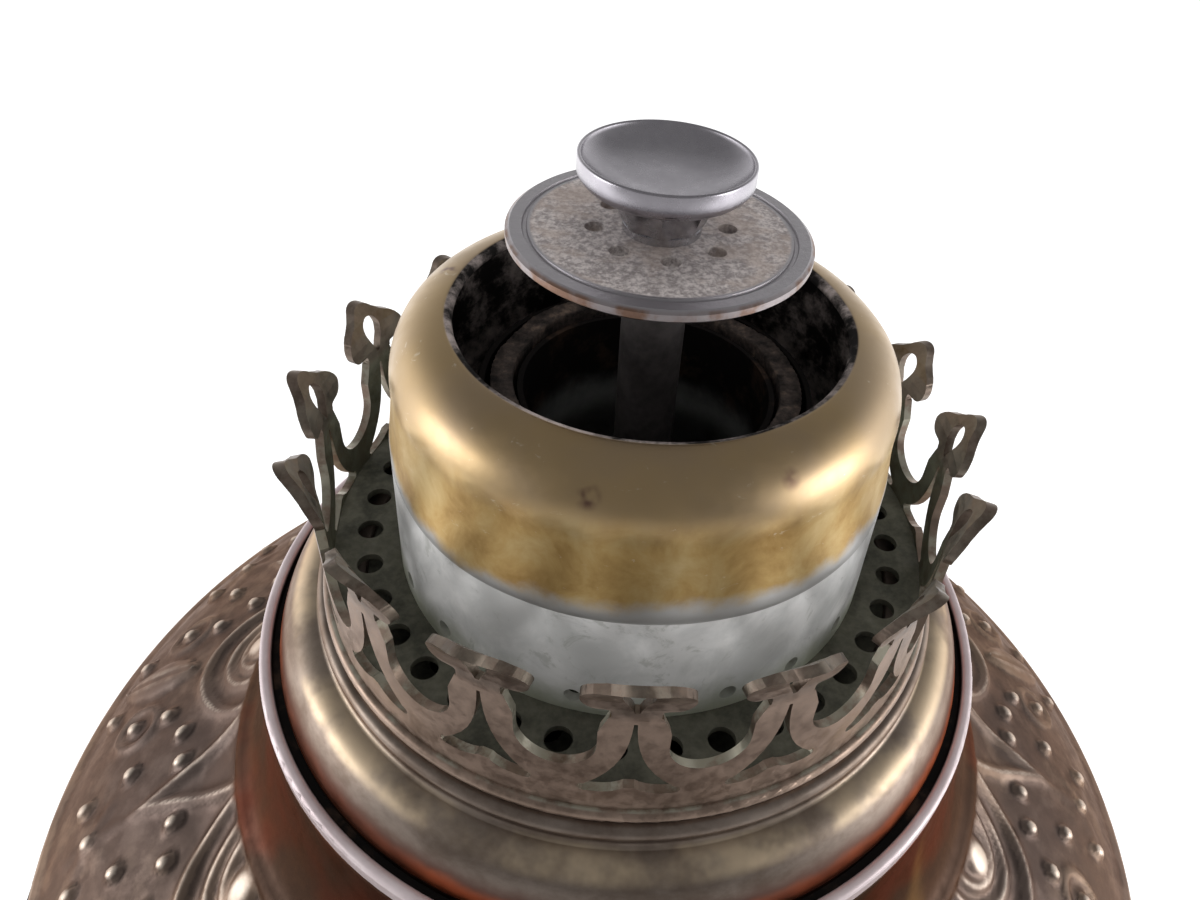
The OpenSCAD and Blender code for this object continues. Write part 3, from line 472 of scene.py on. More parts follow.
@dataclass(frozen=True)
class AgedMetal:
    """Old metal: broad patches of patina, finer mottling, specks, and an uneven gloss."""

    name: str
    dark: Colour
    light: Colour
    patch: float = 16 * MM
    speck: Colour = (0.06, 0.03, 0.02)
    speck_strength: float = 0.5
    rough: Point = (0.27, 0.42)
    scratch: float = 0.2
    pitting: float = 0.3
    metallic: float = 1.0
    soot_from: float | None = None
    # Radius inside which the metal is darkened in the soot colours as painted shade.
    shade_within: float | None = None

    def material(self) -> Material:
        """Build the finish.

        Returns:
            The material. Soot lies above the height soot_from; nearer the axis than the given radius, the soot colours
            are laid on instead as painted shade.
        """
        tree = Tree(self.name)
        tree.set(Metallic=self.metallic)
        broad = tree.band(tree.noise(self.patch, 3.0, 0.5, warp=0.5), 0.3, 0.7)
        fine = tree.band(tree.noise(self.patch / 6, 6.0, 0.65), 0.3, 0.7)
        share = tree.maths("ADD", tree.maths("MULTIPLY", broad, 0.6), tree.maths("MULTIPLY", fine, 0.4))
        colour = tree.mix(share, self.dark, self.light)
        specks = tree.maths("MULTIPLY", tree.spots(8 * MM, 0.14), tree.band(tree.noise(6 * MM), 0.52, 0.6, 0.0, self.speck_strength))
        colour = tree.mix(specks, colour, self.speck)
        rough = tree.band(tree.noise(2.4 * MM, 5.0, 0.7), 0.3, 0.7, *self.rough)
        soot = None
        if self.soot_from is not None:
            soot = tree.band(tree.height(4 * MM), self.soot_from, self.soot_from + 9 * MM)
        # Painted shade: faces nearer the axis, such as the rim's inner side and ledge, take the soot colours though no
        # soot lies there.
        if self.shade_within is not None:
            soot = tree.band(tree.radius(), self.shade_within + 0.1 * MM, self.shade_within - 0.1 * MM)
        if soot is not None:
            brown = tree.mix(tree.band(tree.noise(5 * MM, 6.0, 0.7), 0.5, 0.7), SOOT, (0.045, 0.028, 0.02))
            colour = tree.mix(soot, colour, brown)
            rough = tree.maths("MAXIMUM", rough, tree.maths("MULTIPLY", soot, 0.9))
            tree.feed(tree.band(soot, 0.0, 1.0, self.metallic, 0.0), "Metallic")
            tree.feed(tree.band(soot, 0.0, 1.0, 0.5, 0.08), "Specular IOR Level")
        tree.feed(colour, "Base Color")
        tree.feed(rough, "Roughness")
        tree.grain(self.scratch, self.pitting)
        return tree.material


@dataclass(frozen=True)
class CapBrass:
    """Brass of the cap: a brown film on the shoulder, mottled gold on the wall, tin at the foot."""

    name: str
    foot_z: float
    top_z: float
    film: Colour = (0.42, 0.31, 0.195)
    deep: Colour = (0.40, 0.245, 0.085)
    gold: Colour = (0.53, 0.36, 0.145)
    pale: Colour = (0.62, 0.47, 0.235)
    tin: Colour = (0.56, 0.55, 0.54)
    stain: Colour = (0.09, 0.03, 0.045)
    ash: Colour = (0.46, 0.39, 0.365)

    def material(self) -> Material:
        """Build the finish.

        Returns:
            The material, zoned by height with wandering borders; the inside is sooty.
        """
        tree = Tree(self.name)
        mottle = tree.maths("ADD", tree.maths("MULTIPLY", tree.noise(5 * MM, 6.0, 0.62, warp=0.4), 0.8),
                            tree.maths("MULTIPLY", tree.noise(3 * MM, 4.0, 0.6, stretch=(1.0, 1.0, 0.4)), 0.2))
        wall = tree.ramp(mottle, [(0.36, self.deep), (0.5, self.gold), (0.66, self.pale)])
        film = tree.mix(tree.band(tree.noise(11 * MM, 4.0, 0.5), 0.35, 0.65, 0.0, 0.35), self.film, self.gold)
        top = tree.height(2.5 * MM)
        colour = tree.mix(tree.band(top, self.top_z - 6 * MM, self.top_z - 1.8 * MM), wall, film)
        stains = tree.maths("MULTIPLY", tree.spots(11 * MM, 0.13), tree.band(tree.noise(9 * MM), 0.5, 0.56, 0.0, 0.85))
        colour = tree.mix(stains, colour, self.stain)
        scuffs = tree.band(tree.noise(2.2 * MM, 5.0, 0.7, stretch=(1.0, 1.0, 2.4), warp=0.8), 0.63, 0.72, 0.0, 0.5)
        colour = tree.mix(scuffs, colour, (0.75, 0.68, 0.55))
        wander = tree.maths("MULTIPLY", tree.noise(20 * MM, 3.0, 0.5), 7 * MM)
        low = tree.maths("ADD", tree.height(3 * MM), wander)
        colour = tree.mix(tree.band(low, self.foot_z + 7.5 * MM, self.foot_z + 5.4 * MM), colour, self.tin)
        inside = tree.band(tree.facing(), 0.05, -0.2)
        soot = tree.mix(tree.band(tree.noise(6 * MM, 7.0, 0.7), 0.42, 0.68), SOOT, self.ash)
        tree.feed(tree.mix(inside, colour, soot), "Base Color")
        gloss = tree.band(tree.height(), self.top_z - 7.5 * MM, self.top_z - 4.5 * MM, 0.46, 0.3)
        rough = tree.maths("ADD", gloss, tree.band(tree.noise(3 * MM, 5.0, 0.7), 0.3, 0.7, 0.0, 0.09))
        tree.feed(tree.maths("MAXIMUM", rough, tree.maths("MULTIPLY", inside, 0.9)), "Roughness")
        tree.feed(tree.band(inside, 0.0, 1.0, 1.0, 0.0), "Metallic")
        tree.feed(tree.band(inside, 0.0, 1.0, 0.5, 0.15), "Specular IOR Level")
        tree.grain(0.12, 0.22)
        return tree.material


@dataclass(frozen=True)
class TinnedTube:
    """Tinned sheet of the deflector's tube: satin grey, with green grime creeping up from its foot."""

    name: str
    foot_z: float
    top_z: float
    dull: Colour = (0.72, 0.72, 0.71)
    bright: Colour = (0.96, 0.95, 0.94)
    grime: Colour = (0.34, 0.36, 0.26)
    ash: Colour = (0.46, 0.39, 0.365)

    def material(self) -> Material:
        """Build the finish.

        Returns:
            The material, zoned by height; the inside is sooty.
        """
        tree = Tree(self.name)
        cloud = tree.band(tree.noise(7 * MM, 5.0, 0.6, stretch=(1.0, 1.0, 0.7), warp=0.6), 0.34, 0.62)
        colour = tree.mix(cloud, self.dull, self.bright)
        smudge = tree.band(tree.noise(3.5 * MM, 6.0, 0.7, warp=0.8), 0.56, 0.68, 0.0, 0.4)
        colour = tree.mix(smudge, colour, (0.34, 0.35, 0.30))
        foot = tree.band(tree.height(5 * MM), self.foot_z + 8 * MM, self.foot_z + 2.5 * MM, 0.0, 0.85)
        colour = tree.mix(foot, colour, self.grime)
        inside = tree.band(tree.facing(), 0.05, -0.2)
        soot = tree.mix(tree.band(tree.noise(6 * MM, 7.0, 0.7), 0.42, 0.68), SOOT, self.ash)
        tree.feed(tree.mix(inside, colour, soot), "Base Color")
        rough = tree.band(tree.noise(3 * MM, 5.0, 0.7), 0.3, 0.7, 0.3, 0.42)
        tree.feed(tree.maths("MAXIMUM", rough, tree.maths("MULTIPLY", inside, 0.85)), "Roughness")
        tree.feed(tree.band(inside, 0.0, 1.0, 0.4, 0.0), "Metallic")
        tree.grain(0.1, 0.25)
        return tree.material


@dataclass(frozen=True)
class DomeBrass:
    """Brown brass of the dome, golden on its crest as rubbed brass and painted highlight, and copper red where it
    meets the flange.
    """

    name: str
    foot_z: float
    crest_z: float
    brown: Colour = (0.160, 0.122, 0.098)
    grey: Colour = (0.275, 0.226, 0.192)
    # Gold of the crest band: rubbed brass and a painted highlight.
    gold: Colour = (0.66, 0.52, 0.36)
    mauve: Colour = (0.13, 0.072, 0.058)
    copper: Colour = (0.50, 0.13, 0.055)

    def material(self) -> Material:
        """Build the finish.

        Returns:
            The material, zoned by height. The copper comes and goes round the foot, and a mauve
            brown leads from it up to the crest.
        """
        tree = Tree(self.name)
        mottle = tree.band(tree.noise(7 * MM, 6.0, 0.65, stretch=(1.0, 1.0, 2.0)), 0.32, 0.68)
        colour = tree.mix(mottle, self.brown, self.grey)
        # Painted highlight: the gold band round the crest is partly rubbed brass and partly a painted highlight line.
        crest = tree.maths("MULTIPLY", tree.band(tree.height(), self.crest_z - 1.2 * MM, self.crest_z - 0.2 * MM),
                           tree.band(tree.height(), self.crest_z + 1.2 * MM, self.crest_z + 0.4 * MM))
        crest = tree.maths("MULTIPLY", crest, tree.band(tree.noise(9 * MM, 4.0), 0.38, 0.62, 0.1, 0.85))
        colour = tree.mix(crest, colour, self.gold)
        place = tree.height(1.4 * MM)
        colour = tree.mix(tree.band(place, self.foot_z + 5.0 * MM, self.foot_z + 3.0 * MM), colour, self.mauve)
        foot = tree.band(place, self.foot_z + 3.6 * MM, self.foot_z + 1.8 * MM)
        foot = tree.maths("MULTIPLY", foot, tree.band(tree.noise(24 * MM, 3.0, 0.5), 0.36, 0.56, 0.3, 1.0))
        tree.feed(tree.mix(foot, colour, self.copper), "Base Color")
        tree.set(Metallic=0.9, Specular_Tint=(0.75, 0.62, 0.55, 1.0))
        tree.feed(tree.band(tree.noise(2.6 * MM, 5.0, 0.7), 0.3, 0.7, 0.32, 0.46), "Roughness")
        tree.grain(0.15, 0.28)
        return tree.material


@dataclass(frozen=True)
class SpreaderMetal:
    """Dark metal of the spreader's disc: a crusty middle, a rubbed rim and a rusty edge."""

    name: str
    disc_radius: float
    rim_width: float = 2.1 * MM
    crust: Colour = (0.28, 0.245, 0.24)
    crust_light: Colour = (0.66, 0.60, 0.58)
    rubbed: Colour = (0.40, 0.38, 0.40)
    rust: Colour = (0.22, 0.12, 0.075)

    def material(self) -> Material:
        """Build the finish.

        Returns:
            The material, zoned by the distance from the axis.
        """
        tree = Tree(self.name)
        grains = tree.noise(0.55 * MM, 5.0, 0.75)
        crust = tree.mix(tree.band(grains, 0.38, 0.66), self.crust, self.crust_light)
        warm = tree.band(tree.noise(4 * MM, 4.0), 0.45, 0.62, 0.0, 0.55)
        crust = tree.mix(warm, crust, (0.45, 0.36, 0.31))
        rim = tree.band(tree.radius(), self.disc_radius - self.rim_width - 0.3 * MM, self.disc_radius - self.rim_width)
        colour = tree.mix(rim, crust, self.rubbed)
        edge = tree.maths("MULTIPLY", tree.band(tree.radius(), self.disc_radius - 0.4 * MM, self.disc_radius - 0.1 * MM),
                          tree.band(tree.noise(3 * MM), 0.4, 0.6, 0.2, 0.9))
        tree.feed(tree.mix(edge, colour, self.rust), "Base Color")
        tree.feed(tree.band(rim, 0.0, 1.0, 0.62, 0.34), "Roughness")
        tree.feed(tree.band(rim, 0.0, 1.0, 0.15, 0.9), "Metallic")
        rough_skin = tree.bump(grains, 0.5, 0.12 * MM)
        tree.feed(tree.bump(tree.noise(1.2 * MM, 4.0, 0.6), 0.35, 0.10 * MM, rough_skin), "Normal")
        return tree.material


@dataclass(frozen=True)
class GalleryBronze:
    """Red-brown bronze of the chimney gallery: sooty brown heads, and pale edges under them, from wear and a painted
    highlight.
    """

    name: str
    seat_z: float
    neck_z: float
    deep: Colour = (0.17, 0.12, 0.09)
    rubbed: Colour = (0.36, 0.265, 0.21)
    # Pale edge colour: wear and a painted highlight.
    edge: Colour = (0.44, 0.42, 0.34)
    head: Colour = (0.09, 0.066, 0.05)
    head_rubbed: Colour = (0.28, 0.215, 0.175)
    verdigris: Colour = (0.13, 0.15, 0.09)

    def material(self) -> Material:
        """Build the finish.

        Returns:
            The material. Cut edges, whose normals leave the radial direction, are paler, most of
            all between the seat and the necks of the heads, as wear and a painted highlight.
        """
        tree = Tree(self.name)
        broad = tree.band(tree.noise(9 * MM, 4.0, 0.55, warp=0.5), 0.32, 0.68)
        fine = tree.band(tree.noise(1.6 * MM, 6.0, 0.7), 0.35, 0.65)
        share = tree.maths("ADD", tree.maths("MULTIPLY", broad, 0.55), tree.maths("MULTIPLY", fine, 0.45))
        up = tree.band(tree.height(1.5 * MM), self.neck_z, self.neck_z + 1.6 * MM)
        colour = tree.mix(up, tree.mix(share, self.deep, self.rubbed), tree.mix(share, self.head, self.head_rubbed))
        # Painted highlight: the cut edges are paler, partly as wear and partly as the light they catch.
        cut = tree.band(tree.facing(), 0.6, 0.3)
        wear_and_highlight = tree.maths("MULTIPLY", cut, tree.band(tree.noise(4 * MM, 5.0, 0.65), 0.42, 0.6, 0.05, 1.0))
        wear_and_highlight = tree.maths("MULTIPLY", wear_and_highlight, tree.band(up, 0.0, 1.0, 0.9, 0.2))
        colour = tree.mix(wear_and_highlight, colour, self.edge)
        inside = tree.band(tree.facing(), -0.3, -0.6, 0.0, 0.55)
        inside = tree.maths("MULTIPLY", inside, tree.band(up, 0.0, 1.0, 1.0, 0.25))
        tree.feed(tree.mix(inside, colour, self.verdigris), "Base Color")
        tree.set(Metallic=0.85)
        tree.feed(tree.band(fine, 0.0, 1.0, 0.3, 0.48), "Roughness")
        tree.grain(0.15, 0.45)
        return tree.material


@dataclass(frozen=True)
class EmbossedBronze:
    """Copper bronze whose hollows keep their dark patina while the raised work is rubbed pale and given a painted
    highlight.
    """

    name: str
    neck_low: float
    hollow: Colour = (0.070, 0.052, 0.046)
    ground: Colour = (0.130, 0.100, 0.088)
    raised: Colour = (0.62, 0.53, 0.45)
    warm: Colour = (0.26, 0.18, 0.12)
    neck: Colour = (0.044, 0.027, 0.020)
    # Red of the painted reflections on the neck.
    red_reflection: Colour = (0.10, 0.024, 0.014)
    # Gold of the painted glints on the neck.
    gold: Colour = (0.40, 0.23, 0.08)

    def material(self) -> Material:
        """Build the finish from the attribute relief, 0 in the hollows and 1 on the crests.

        Returns:
            The material. Above neck_low it turns to the smooth neck's dark brown, with painted red reflections and
            painted golden glints on it.
        """
        tree = Tree(self.name)
        tree.set(Metallic=0.85, Specular_Tint=(0.62, 0.47, 0.40, 1.0))
        relief = tree.attribute("relief")
        wear_and_highlight = tree.maths("ADD", relief, tree.band(tree.noise(5 * MM, 5.0, 0.6), 0.3, 0.7, -0.1, 0.1))
        tinge = tree.band(tree.noise(26 * MM, 3.0, 0.5), 0.35, 0.7, 0.0, 0.5)
        ground = tree.mix(tinge, self.ground, self.warm)
        colour = tree.mix(tree.band(wear_and_highlight, -0.08, 0.18), self.hollow, ground)
        # The pale crest colour is rubbed wear and a painted highlight on the beads, straps and ribs.
        colour = tree.mix(tree.band(wear_and_highlight, 0.45, 1.0), colour, self.raised)
        # Painted reflection: red patches on the neck. Painted highlight: the golden glints below.
        red = tree.band(tree.noise(20 * MM, 3.0, 0.5), 0.5, 0.68, 0.0, 0.8)
        neck = tree.mix(red, self.neck, self.red_reflection)
        glint = tree.band(tree.noise(26 * MM, 3.0, 0.5, stretch=(1.0, 1.0, 0.5)), 0.56, 0.7, 0.0, 0.6)
        neck = tree.mix(glint, neck, self.gold)
        share = tree.band(tree.height(1 * MM), self.neck_low, self.neck_low + 1.2 * MM)
        tree.feed(tree.mix(share, colour, neck), "Base Color")
        tree.feed(tree.band(tree.noise(3 * MM, 5.0, 0.65), 0.3, 0.7, 0.36, 0.52), "Roughness")
        tree.feed(tree.bump(tree.noise(0.9 * MM, 5.0, 0.7), 0.3, 0.06 * MM), "Normal")
        return tree.material


@dataclass(frozen=True)
class CharredCotton:
    """Woven cotton, burnt black and brown at the top and pale with oil below."""

    name: str
    top: float
    char_depth: float = 14 * MM

    def material(self) -> Material:
        """Build the finish; the char fades over its depth under the top."""
        tree = Tree(self.name)
        tree.set(Roughness=0.95)
        ash = tree.ramp(tree.noise(2.2 * MM, 7.0, 0.72), [(0.38, (0.014, 0.011, 0.010)), (0.54, (0.07, 0.052, 0.044)), (0.68, (0.19, 0.135, 0.10))])
        clean = tree.mix(tree.noise(3 * MM, 4.0), (0.33, 0.25, 0.14), (0.58, 0.48, 0.30))
        burnt = tree.band(tree.height(), self.top - self.char_depth, self.top - self.char_depth * 0.4)
        tree.feed(tree.mix(burnt, clean, ash), "Base Color")
        tree.feed(tree.bump(tree.noise(0.5 * MM, 6.0, 0.75), 0.6, 0.15 * MM), "Normal")
        return tree.material


class Finish(Enum):
    """The metals that need no height of their own."""

    BRASS_COLUMN = AgedMetal("aged_brass_column", (0.25, 0.16, 0.065), (0.46, 0.325, 0.14), patch=20 * MM)
    BRASS_SMALL = AgedMetal("aged_brass_fittings", (0.30, 0.20, 0.08), (0.54, 0.40, 0.18))
    PLATE_BLACK = AgedMetal("sooted_plate", (0.03, 0.03, 0.02), (0.12, 0.115, 0.085), patch=5 * MM,
                            metallic=0.15, rough=(0.6, 0.85), pitting=0.8)
    RIM_ROSE = AgedMetal("worn_rim_metal", (0.60, 0.49, 0.50), (0.80, 0.70, 0.71), rough=(0.36, 0.48),
                         speck_strength=0.2, metallic=0.4)
    COPPER_EDGE = AgedMetal("copper_flange", (0.035, 0.022, 0.018), (0.20, 0.06, 0.03), patch=26 * MM,
                            rough=(0.4, 0.55))
    TINNED = AgedMetal("dull_tinned_sheet", (0.42, 0.43, 0.41), (0.64, 0.65, 0.63), speck=(0.3, 0.3, 0.27), rough=(0.28, 0.42))
    GUNMETAL = AgedMetal("dark_gunmetal", (0.15, 0.145, 0.155), (0.27, 0.26, 0.285), patch=7 * MM, rough=(0.26, 0.36))
    STEM_METAL = AgedMetal("dull_stem", (0.035, 0.03, 0.03), (0.10, 0.088, 0.085), patch=6 * MM, metallic=0.2,
                           rough=(0.5, 0.7))
    NUT_METAL = AgedMetal("rubbed_nut", (0.34, 0.335, 0.35), (0.60, 0.59, 0.61), patch=5 * MM, rough=(0.2, 0.32))
    BUTTON_METAL = AgedMetal("button_metal", (0.38, 0.36, 0.395), (0.50, 0.48, 0.515), patch=12 * MM, speck_strength=0.3,
                             rough=(0.24, 0.32), scratch=0.12)
    STEEL = AgedMetal("plain_steel", (0.34, 0.33, 0.32), (0.58, 0.58, 0.58))
    IRON = AgedMetal("dark_iron", (0.035, 0.03, 0.028), (0.09, 0.08, 0.07), metallic=0.7, rough=(0.55, 0.8))
    VASE_SHEET = AgedMetal("vase_bronze", (0.15, 0.115, 0.095), (0.31, 0.25, 0.205), patch=18 * MM, rough=(0.34, 0.5))


NODE_FINISH: dict[Finish, tuple[str, ...]] = {
    Finish.IRON: ("base_cover", "base_weight", "tie_rod", "rod_washer"),
    Finish.BRASS_COLUMN: ("plinth_shell", "column_base", "column_shaft", "shaft_astragal", "capital_bell",
                          "capital_volutes", "abacus", "air_gallery"),
    Finish.BRASS_SMALL: ("rod_nut_lower", "rod_nut_upper", "spindle_gland", "winder_pinion", "winder_knob", "wick_rack"),
    Finish.VASE_SHEET: ("vase_band",),
    Finish.COPPER_EDGE: ("tank_flange",),
    Finish.TINNED: ("tank_wall", "tank_bottom"),
    Finish.STEEL: ("winder_spindle",),
    Finish.PLATE_BLACK: ("air_plate", "burner_floor"),
    Finish.GUNMETAL: ("spreader_spider",),
    Finish.STEM_METAL: ("spreader_stem",),
    Finish.NUT_METAL: ("spreader_neck",),
}


@dataclass
class EmbossedSheet:
    """A turned sheet with embossing: its outline and its relief come from the kinds below."""

    wall: float = 0.9 * MM
    # Scale of the relief attribute, which paints the crests pale: rubbed wear and painted highlight.
    rubbed: float = 1.0
    steps_round: int = 720
    steps_up: int = 116
    steps_inside: int = 20

    def profile(self) -> np.ndarray:
        """Outline of the outside from the foot up, as radius and height in metres."""
        raise NotImplementedError

    def relief(self, angle: np.ndarray, s: np.ndarray, radius: np.ndarray) -> np.ndarray:
        """Height of the embossing in mm.

        Args:
            angle: Angle of each row in radians, shape (rows, 1).
            s: Arc length from the foot in mm, shape (1, columns).
            radius: Radius in mm, shape (1, columns).

        Returns:
            Heights of shape (rows, columns).
        """
        raise NotImplementedError

    def build(self, name: str) -> Object:
        """Make the sheet: the relief lies along the outline's normals and fades out at both edges.

        Args:
            name: Name of the object.

        Returns:
            The object, with the attribute relief on its points.
        """
        outer = resample(self.profile(), self.steps_up)
        normal = profile_normals(outer)
        inner = resample(outer - self.wall * normal, self.steps_inside)[::-1]
        grid, angle = spin(np.vstack([outer, inner]), self.steps_round)
        s = arc_length(outer) / MM
        raised = self.relief(angle[:, None], s[None, :], outer[None, :, 0] / MM)
        raised *= smoothstep(s, 0.4, 2.0) * (1 - smoothstep(s, s[-1] - 3.0, s[-1] - 1.0))
        out = around(normal, angle)
        grid[:, : len(s)] += out * (raised * MM)[..., None]
        value = np.full(grid.shape[:2], 0.3)
        # The relief value paints the crests pale in the finish: rubbed wear and painted highlight.
        value[:, : len(s)] = self.rubbed * np.clip((raised - 0.1) / 0.85, 0.0, 1.0) ** 1.8
        return ring_mesh(name, grid, {"relief": value})


@dataclass
class VaseShoulder(EmbossedSheet):
    """Shoulder of the vase: a smooth neck, then bays of straps, arches, leaves and beads.

    Places on the embossing are taken from above, in mm: out from its upper border, and across
    from the middle line of a bay.
    """

    rim_z: float = 0.0
    foot_z: float = 0.0
    foot_radius: float = 0.0
    neck_radius: float = 0.0
    neck_top_z: float = 0.0
    bays: int = 9
    first_bay: float = -73.0
    border: float = 49.78
    low_border: float = 81.76
    strap_half: float = 6.2
    strap_length: float = 15.5
    strap_width: float = 1.8
    arches: tuple[float, ...] = (4.6, 7.0, 11.0)
    boss: float = 2.2
    leaf_middle: float = 20.5
    leaf_arc: float = 8.9
    leaf_half: float = 3.4

    def profile(self) -> np.ndarray:
        """Outline from the widest place up to the rim."""
        turn = (self.neck_radius + 11.8 * MM, self.rim_z - 26 * MM)
        shoulder = bezier((self.foot_radius, self.foot_z), (self.foot_radius, self.rim_z - 46 * MM),
                          (self.neck_radius + 25.8 * MM, self.rim_z - 33.5 * MM), turn, 120)
        neck = bezier(turn, (self.neck_radius + 3.3 * MM, self.rim_z - 20 * MM),
                      (self.neck_radius + 0.4 * MM, self.rim_z - 12 * MM), (self.neck_radius, self.neck_top_z), 60)
        return path_of(shoulder, neck)

    def relief(self, angle: np.ndarray, s: np.ndarray, radius: np.ndarray) -> np.ndarray:
        """Height of the embossing in mm.

        A bar of the width w is exp(-(d / 0.55 w)^2), where d is the distance from its line. Strap
        bays and arch bays take turns. Both borders are bars, and pearls lie under the lower one.

        Args:
            angle: Angle of each row in radians, shape (rows, 1).
            s: Arc length from the foot in mm, shape (1, columns).
            radius: Radius in mm, shape (1, columns).

        Returns:
            Heights of shape (rows, columns).
        """
        pitch = 2 * math.pi / self.bays
        turn = angle - math.radians(self.first_bay)
        out = radius - self.border
        from_strap = (np.mod(turn + pitch / 2, pitch) - pitch / 2) * radius
        from_arch = (np.mod(turn, pitch) - pitch / 2) * radius
        height = np.maximum(self.strap(out, np.abs(from_strap)), self.arch(out, np.abs(from_arch)))
        height *= smoothstep(out, -0.6, 0.2)
        for line in (self.border, self.low_border):
            height = np.maximum(height, 0.8 * self.bar(radius - line, 1.6))
        step = pitch / 16
        along = (np.mod(turn + step / 2, step) - step / 2) * radius
        pearls = self.dome(along, s - np.interp(self.low_border + 2.2, radius[0, ::-1], s[0, ::-1]), 1.0)
        return np.maximum(height, 0.3 * pearls)

    def bar(self, distance: np.ndarray, width: float) -> np.ndarray:
        """Height of a soft bar at a distance from its line."""
        return np.exp(-((distance / (0.55 * width)) ** 2))

    def dome(self, across: np.ndarray, along: np.ndarray, radius: float) -> np.ndarray:
        """Height of a round bead at a place beside its middle."""
        return np.sqrt(np.clip(1 - (across**2 + along**2) / radius**2, 0, 1))

    def strap(self, out: np.ndarray, across: np.ndarray) -> np.ndarray:
        """Strap bay: the pointed strap, a six-petalled flower past its tip, and beads on both sides.

        Args:
            out: Distance out from the border in mm.
            across: Distance from the bay's middle line in mm, 0 or more.

        Returns:
            Heights in mm.
        """
        half, length = self.strap_half - self.strap_width / 2, self.strap_length - self.strap_width
        side = (half * out + length * across - half * length) / math.hypot(half, length)
        height = 0.8 * self.bar(side, self.strap_width)
        reach, turn = np.hypot(out - 22.5, across), np.arctan2(across, out - 22.5)
        petals = np.clip(1 - reach / (4.4 + 1.4 * np.cos(6 * turn)), 0, 1) ** 0.7
        height = np.maximum(height, 0.4 * petals)
        height = np.maximum(height, self.dome(across, out - 22.5, 1.3))
        beads = ((9.6, 4.4), (17.6, 7.0), (10.7, 9.4), (24.6, 6.0))
        return np.maximum(height, self.beads(out, across, beads))

    def arch(self, out: np.ndarray, across: np.ndarray) -> np.ndarray:
        """Arch bay: round arches about a boss, a pointed leaf outside them, a curl and beads beside it.

        Args:
            out: Distance out from the border in mm.
            across: Distance from the bay's middle line in mm, 0 or more.

        Returns:
            Heights in mm, under 1.
        """
        reach = np.hypot(out, across)
        height = self.dome(across, out - self.boss, self.boss + 0.3)
        for ring in self.arches:
            height = np.maximum(height, 0.8 * self.bar(reach - ring, self.strap_width))
        along = out - self.leaf_middle
        width = np.sqrt(np.clip(self.leaf_arc**2 - along**2, 0, None)) - (self.leaf_arc - self.leaf_half)
        leaf = np.sqrt(np.clip(1 - (across / np.maximum(width, 1e-3)) ** 2, 0, 1)) * (width > 0)
        leaf = leaf - 0.35 * self.bar(across, 0.8) * (width > 0.8)
        height = np.maximum(height, 0.8 * leaf)
        curl = np.hypot(out - 20.0, across - 8.6)
        height = np.maximum(height, 0.55 * self.bar(curl - 3.2, 1.2))
        beads = ((14.5, 8.2), (20.4, 8.6), (26.8, 5.0))
        return np.maximum(height, self.beads(out, across, beads))

    def beads(self, out: np.ndarray, across: np.ndarray, places: tuple[Point, ...]) -> np.ndarray:
        """Small round beads.

        Args:
            out: Distance out from the border in mm.
            across: Distance from the bay's middle line in mm, 0 or more.
            places: Where the beads lie, as distances out and across.

        Returns:
            Heights in mm.
        """
        height = np.zeros(np.broadcast(out, across).shape)
        for place, side in places:
            height = np.maximum(height, self.dome(across - side, out - place, 1.3))
        return height


@dataclass
class VaseBowl(EmbossedSheet):
    """Bowl of the vase: gadroons that rise from the foot and end in round tops under two rings."""

    low_z: float = 0.0
    high_z: float = 0.0
    foot_radius: float = 0.0
    mouth_radius: float = 0.0
    widest_radius: float = 0.0
    turn_down: float = 27 * MM
    gadroons: int = 36
    gadroon_low: float = 7.0
    gadroon_high: float = 62.0

    def profile(self) -> np.ndarray:
        """Outline from the mouth over the air gallery, round the foot, up to the widest place."""
        side = bezier((self.foot_radius + 3 * MM, self.low_z + 1.2 * MM), (self.widest_radius * 0.68, self.low_z + 5 * MM),
                      (self.widest_radius, self.high_z - self.turn_down + 1.5 * MM), (self.widest_radius, self.high_z), 160)
        foot = [(self.mouth_radius, self.low_z), (self.foot_radius + 2 * MM, self.low_z)]
        return path_of(foot, side)

    def relief(self, angle: np.ndarray, s: np.ndarray, radius: np.ndarray) -> np.ndarray:
        """Height of the embossing in mm.

        A gadroon is |sin| across its width. It fades in at its foot, and its top is cut off on a
        half circle as wide as itself. The two rings are ridges exp(-(d / w)^2).

        Args:
            angle: Angle of each row in radians, shape (rows, 1).
            s: Arc length from the foot in mm, shape (1, columns).
            radius: Radius in mm, shape (1, columns).

        Returns:
            Heights of shape (rows, columns).
        """
        width = 2 * math.pi * radius / self.gadroons
        across = (np.mod(angle * self.gadroons / (2 * math.pi), 1.0) - 0.5) * width
        top = self.gadroon_high + np.sqrt(np.clip(width**2 / 4 - across**2, 0, None)) - width / 2
        swell = smoothstep(s, self.gadroon_low, self.gadroon_low + 10) * (1 - smoothstep(s, top - 1.4, top))
        height = 1.2 * np.abs(np.cos(math.pi * across / np.maximum(width, 1e-6))) ** 0.7 * swell
        for line in (self.gadroon_high + 3.0, self.gadroon_high + 6.4):
            height = height + 0.6 * np.exp(-(((s - line) / 0.7) ** 2))
        return height


@dataclass
class TurnedSheet:
    """A plain turned sheet with round edges and the slight dents of use."""

    outline: np.ndarray
    wall: float
    dents: float = 0.08 * MM
    seed: int = 3
    steps_round: int = 256

    def build(self, name: str) -> Object:
        """Make the sheet.

        Args:
            name: Name of the object.

        Returns:
            The object.
        """
        grid, angle = spin(sheet_section(self.outline, self.wall), self.steps_round)
        return ring_mesh(name, dented(grid, angle, self.dents, self.seed))


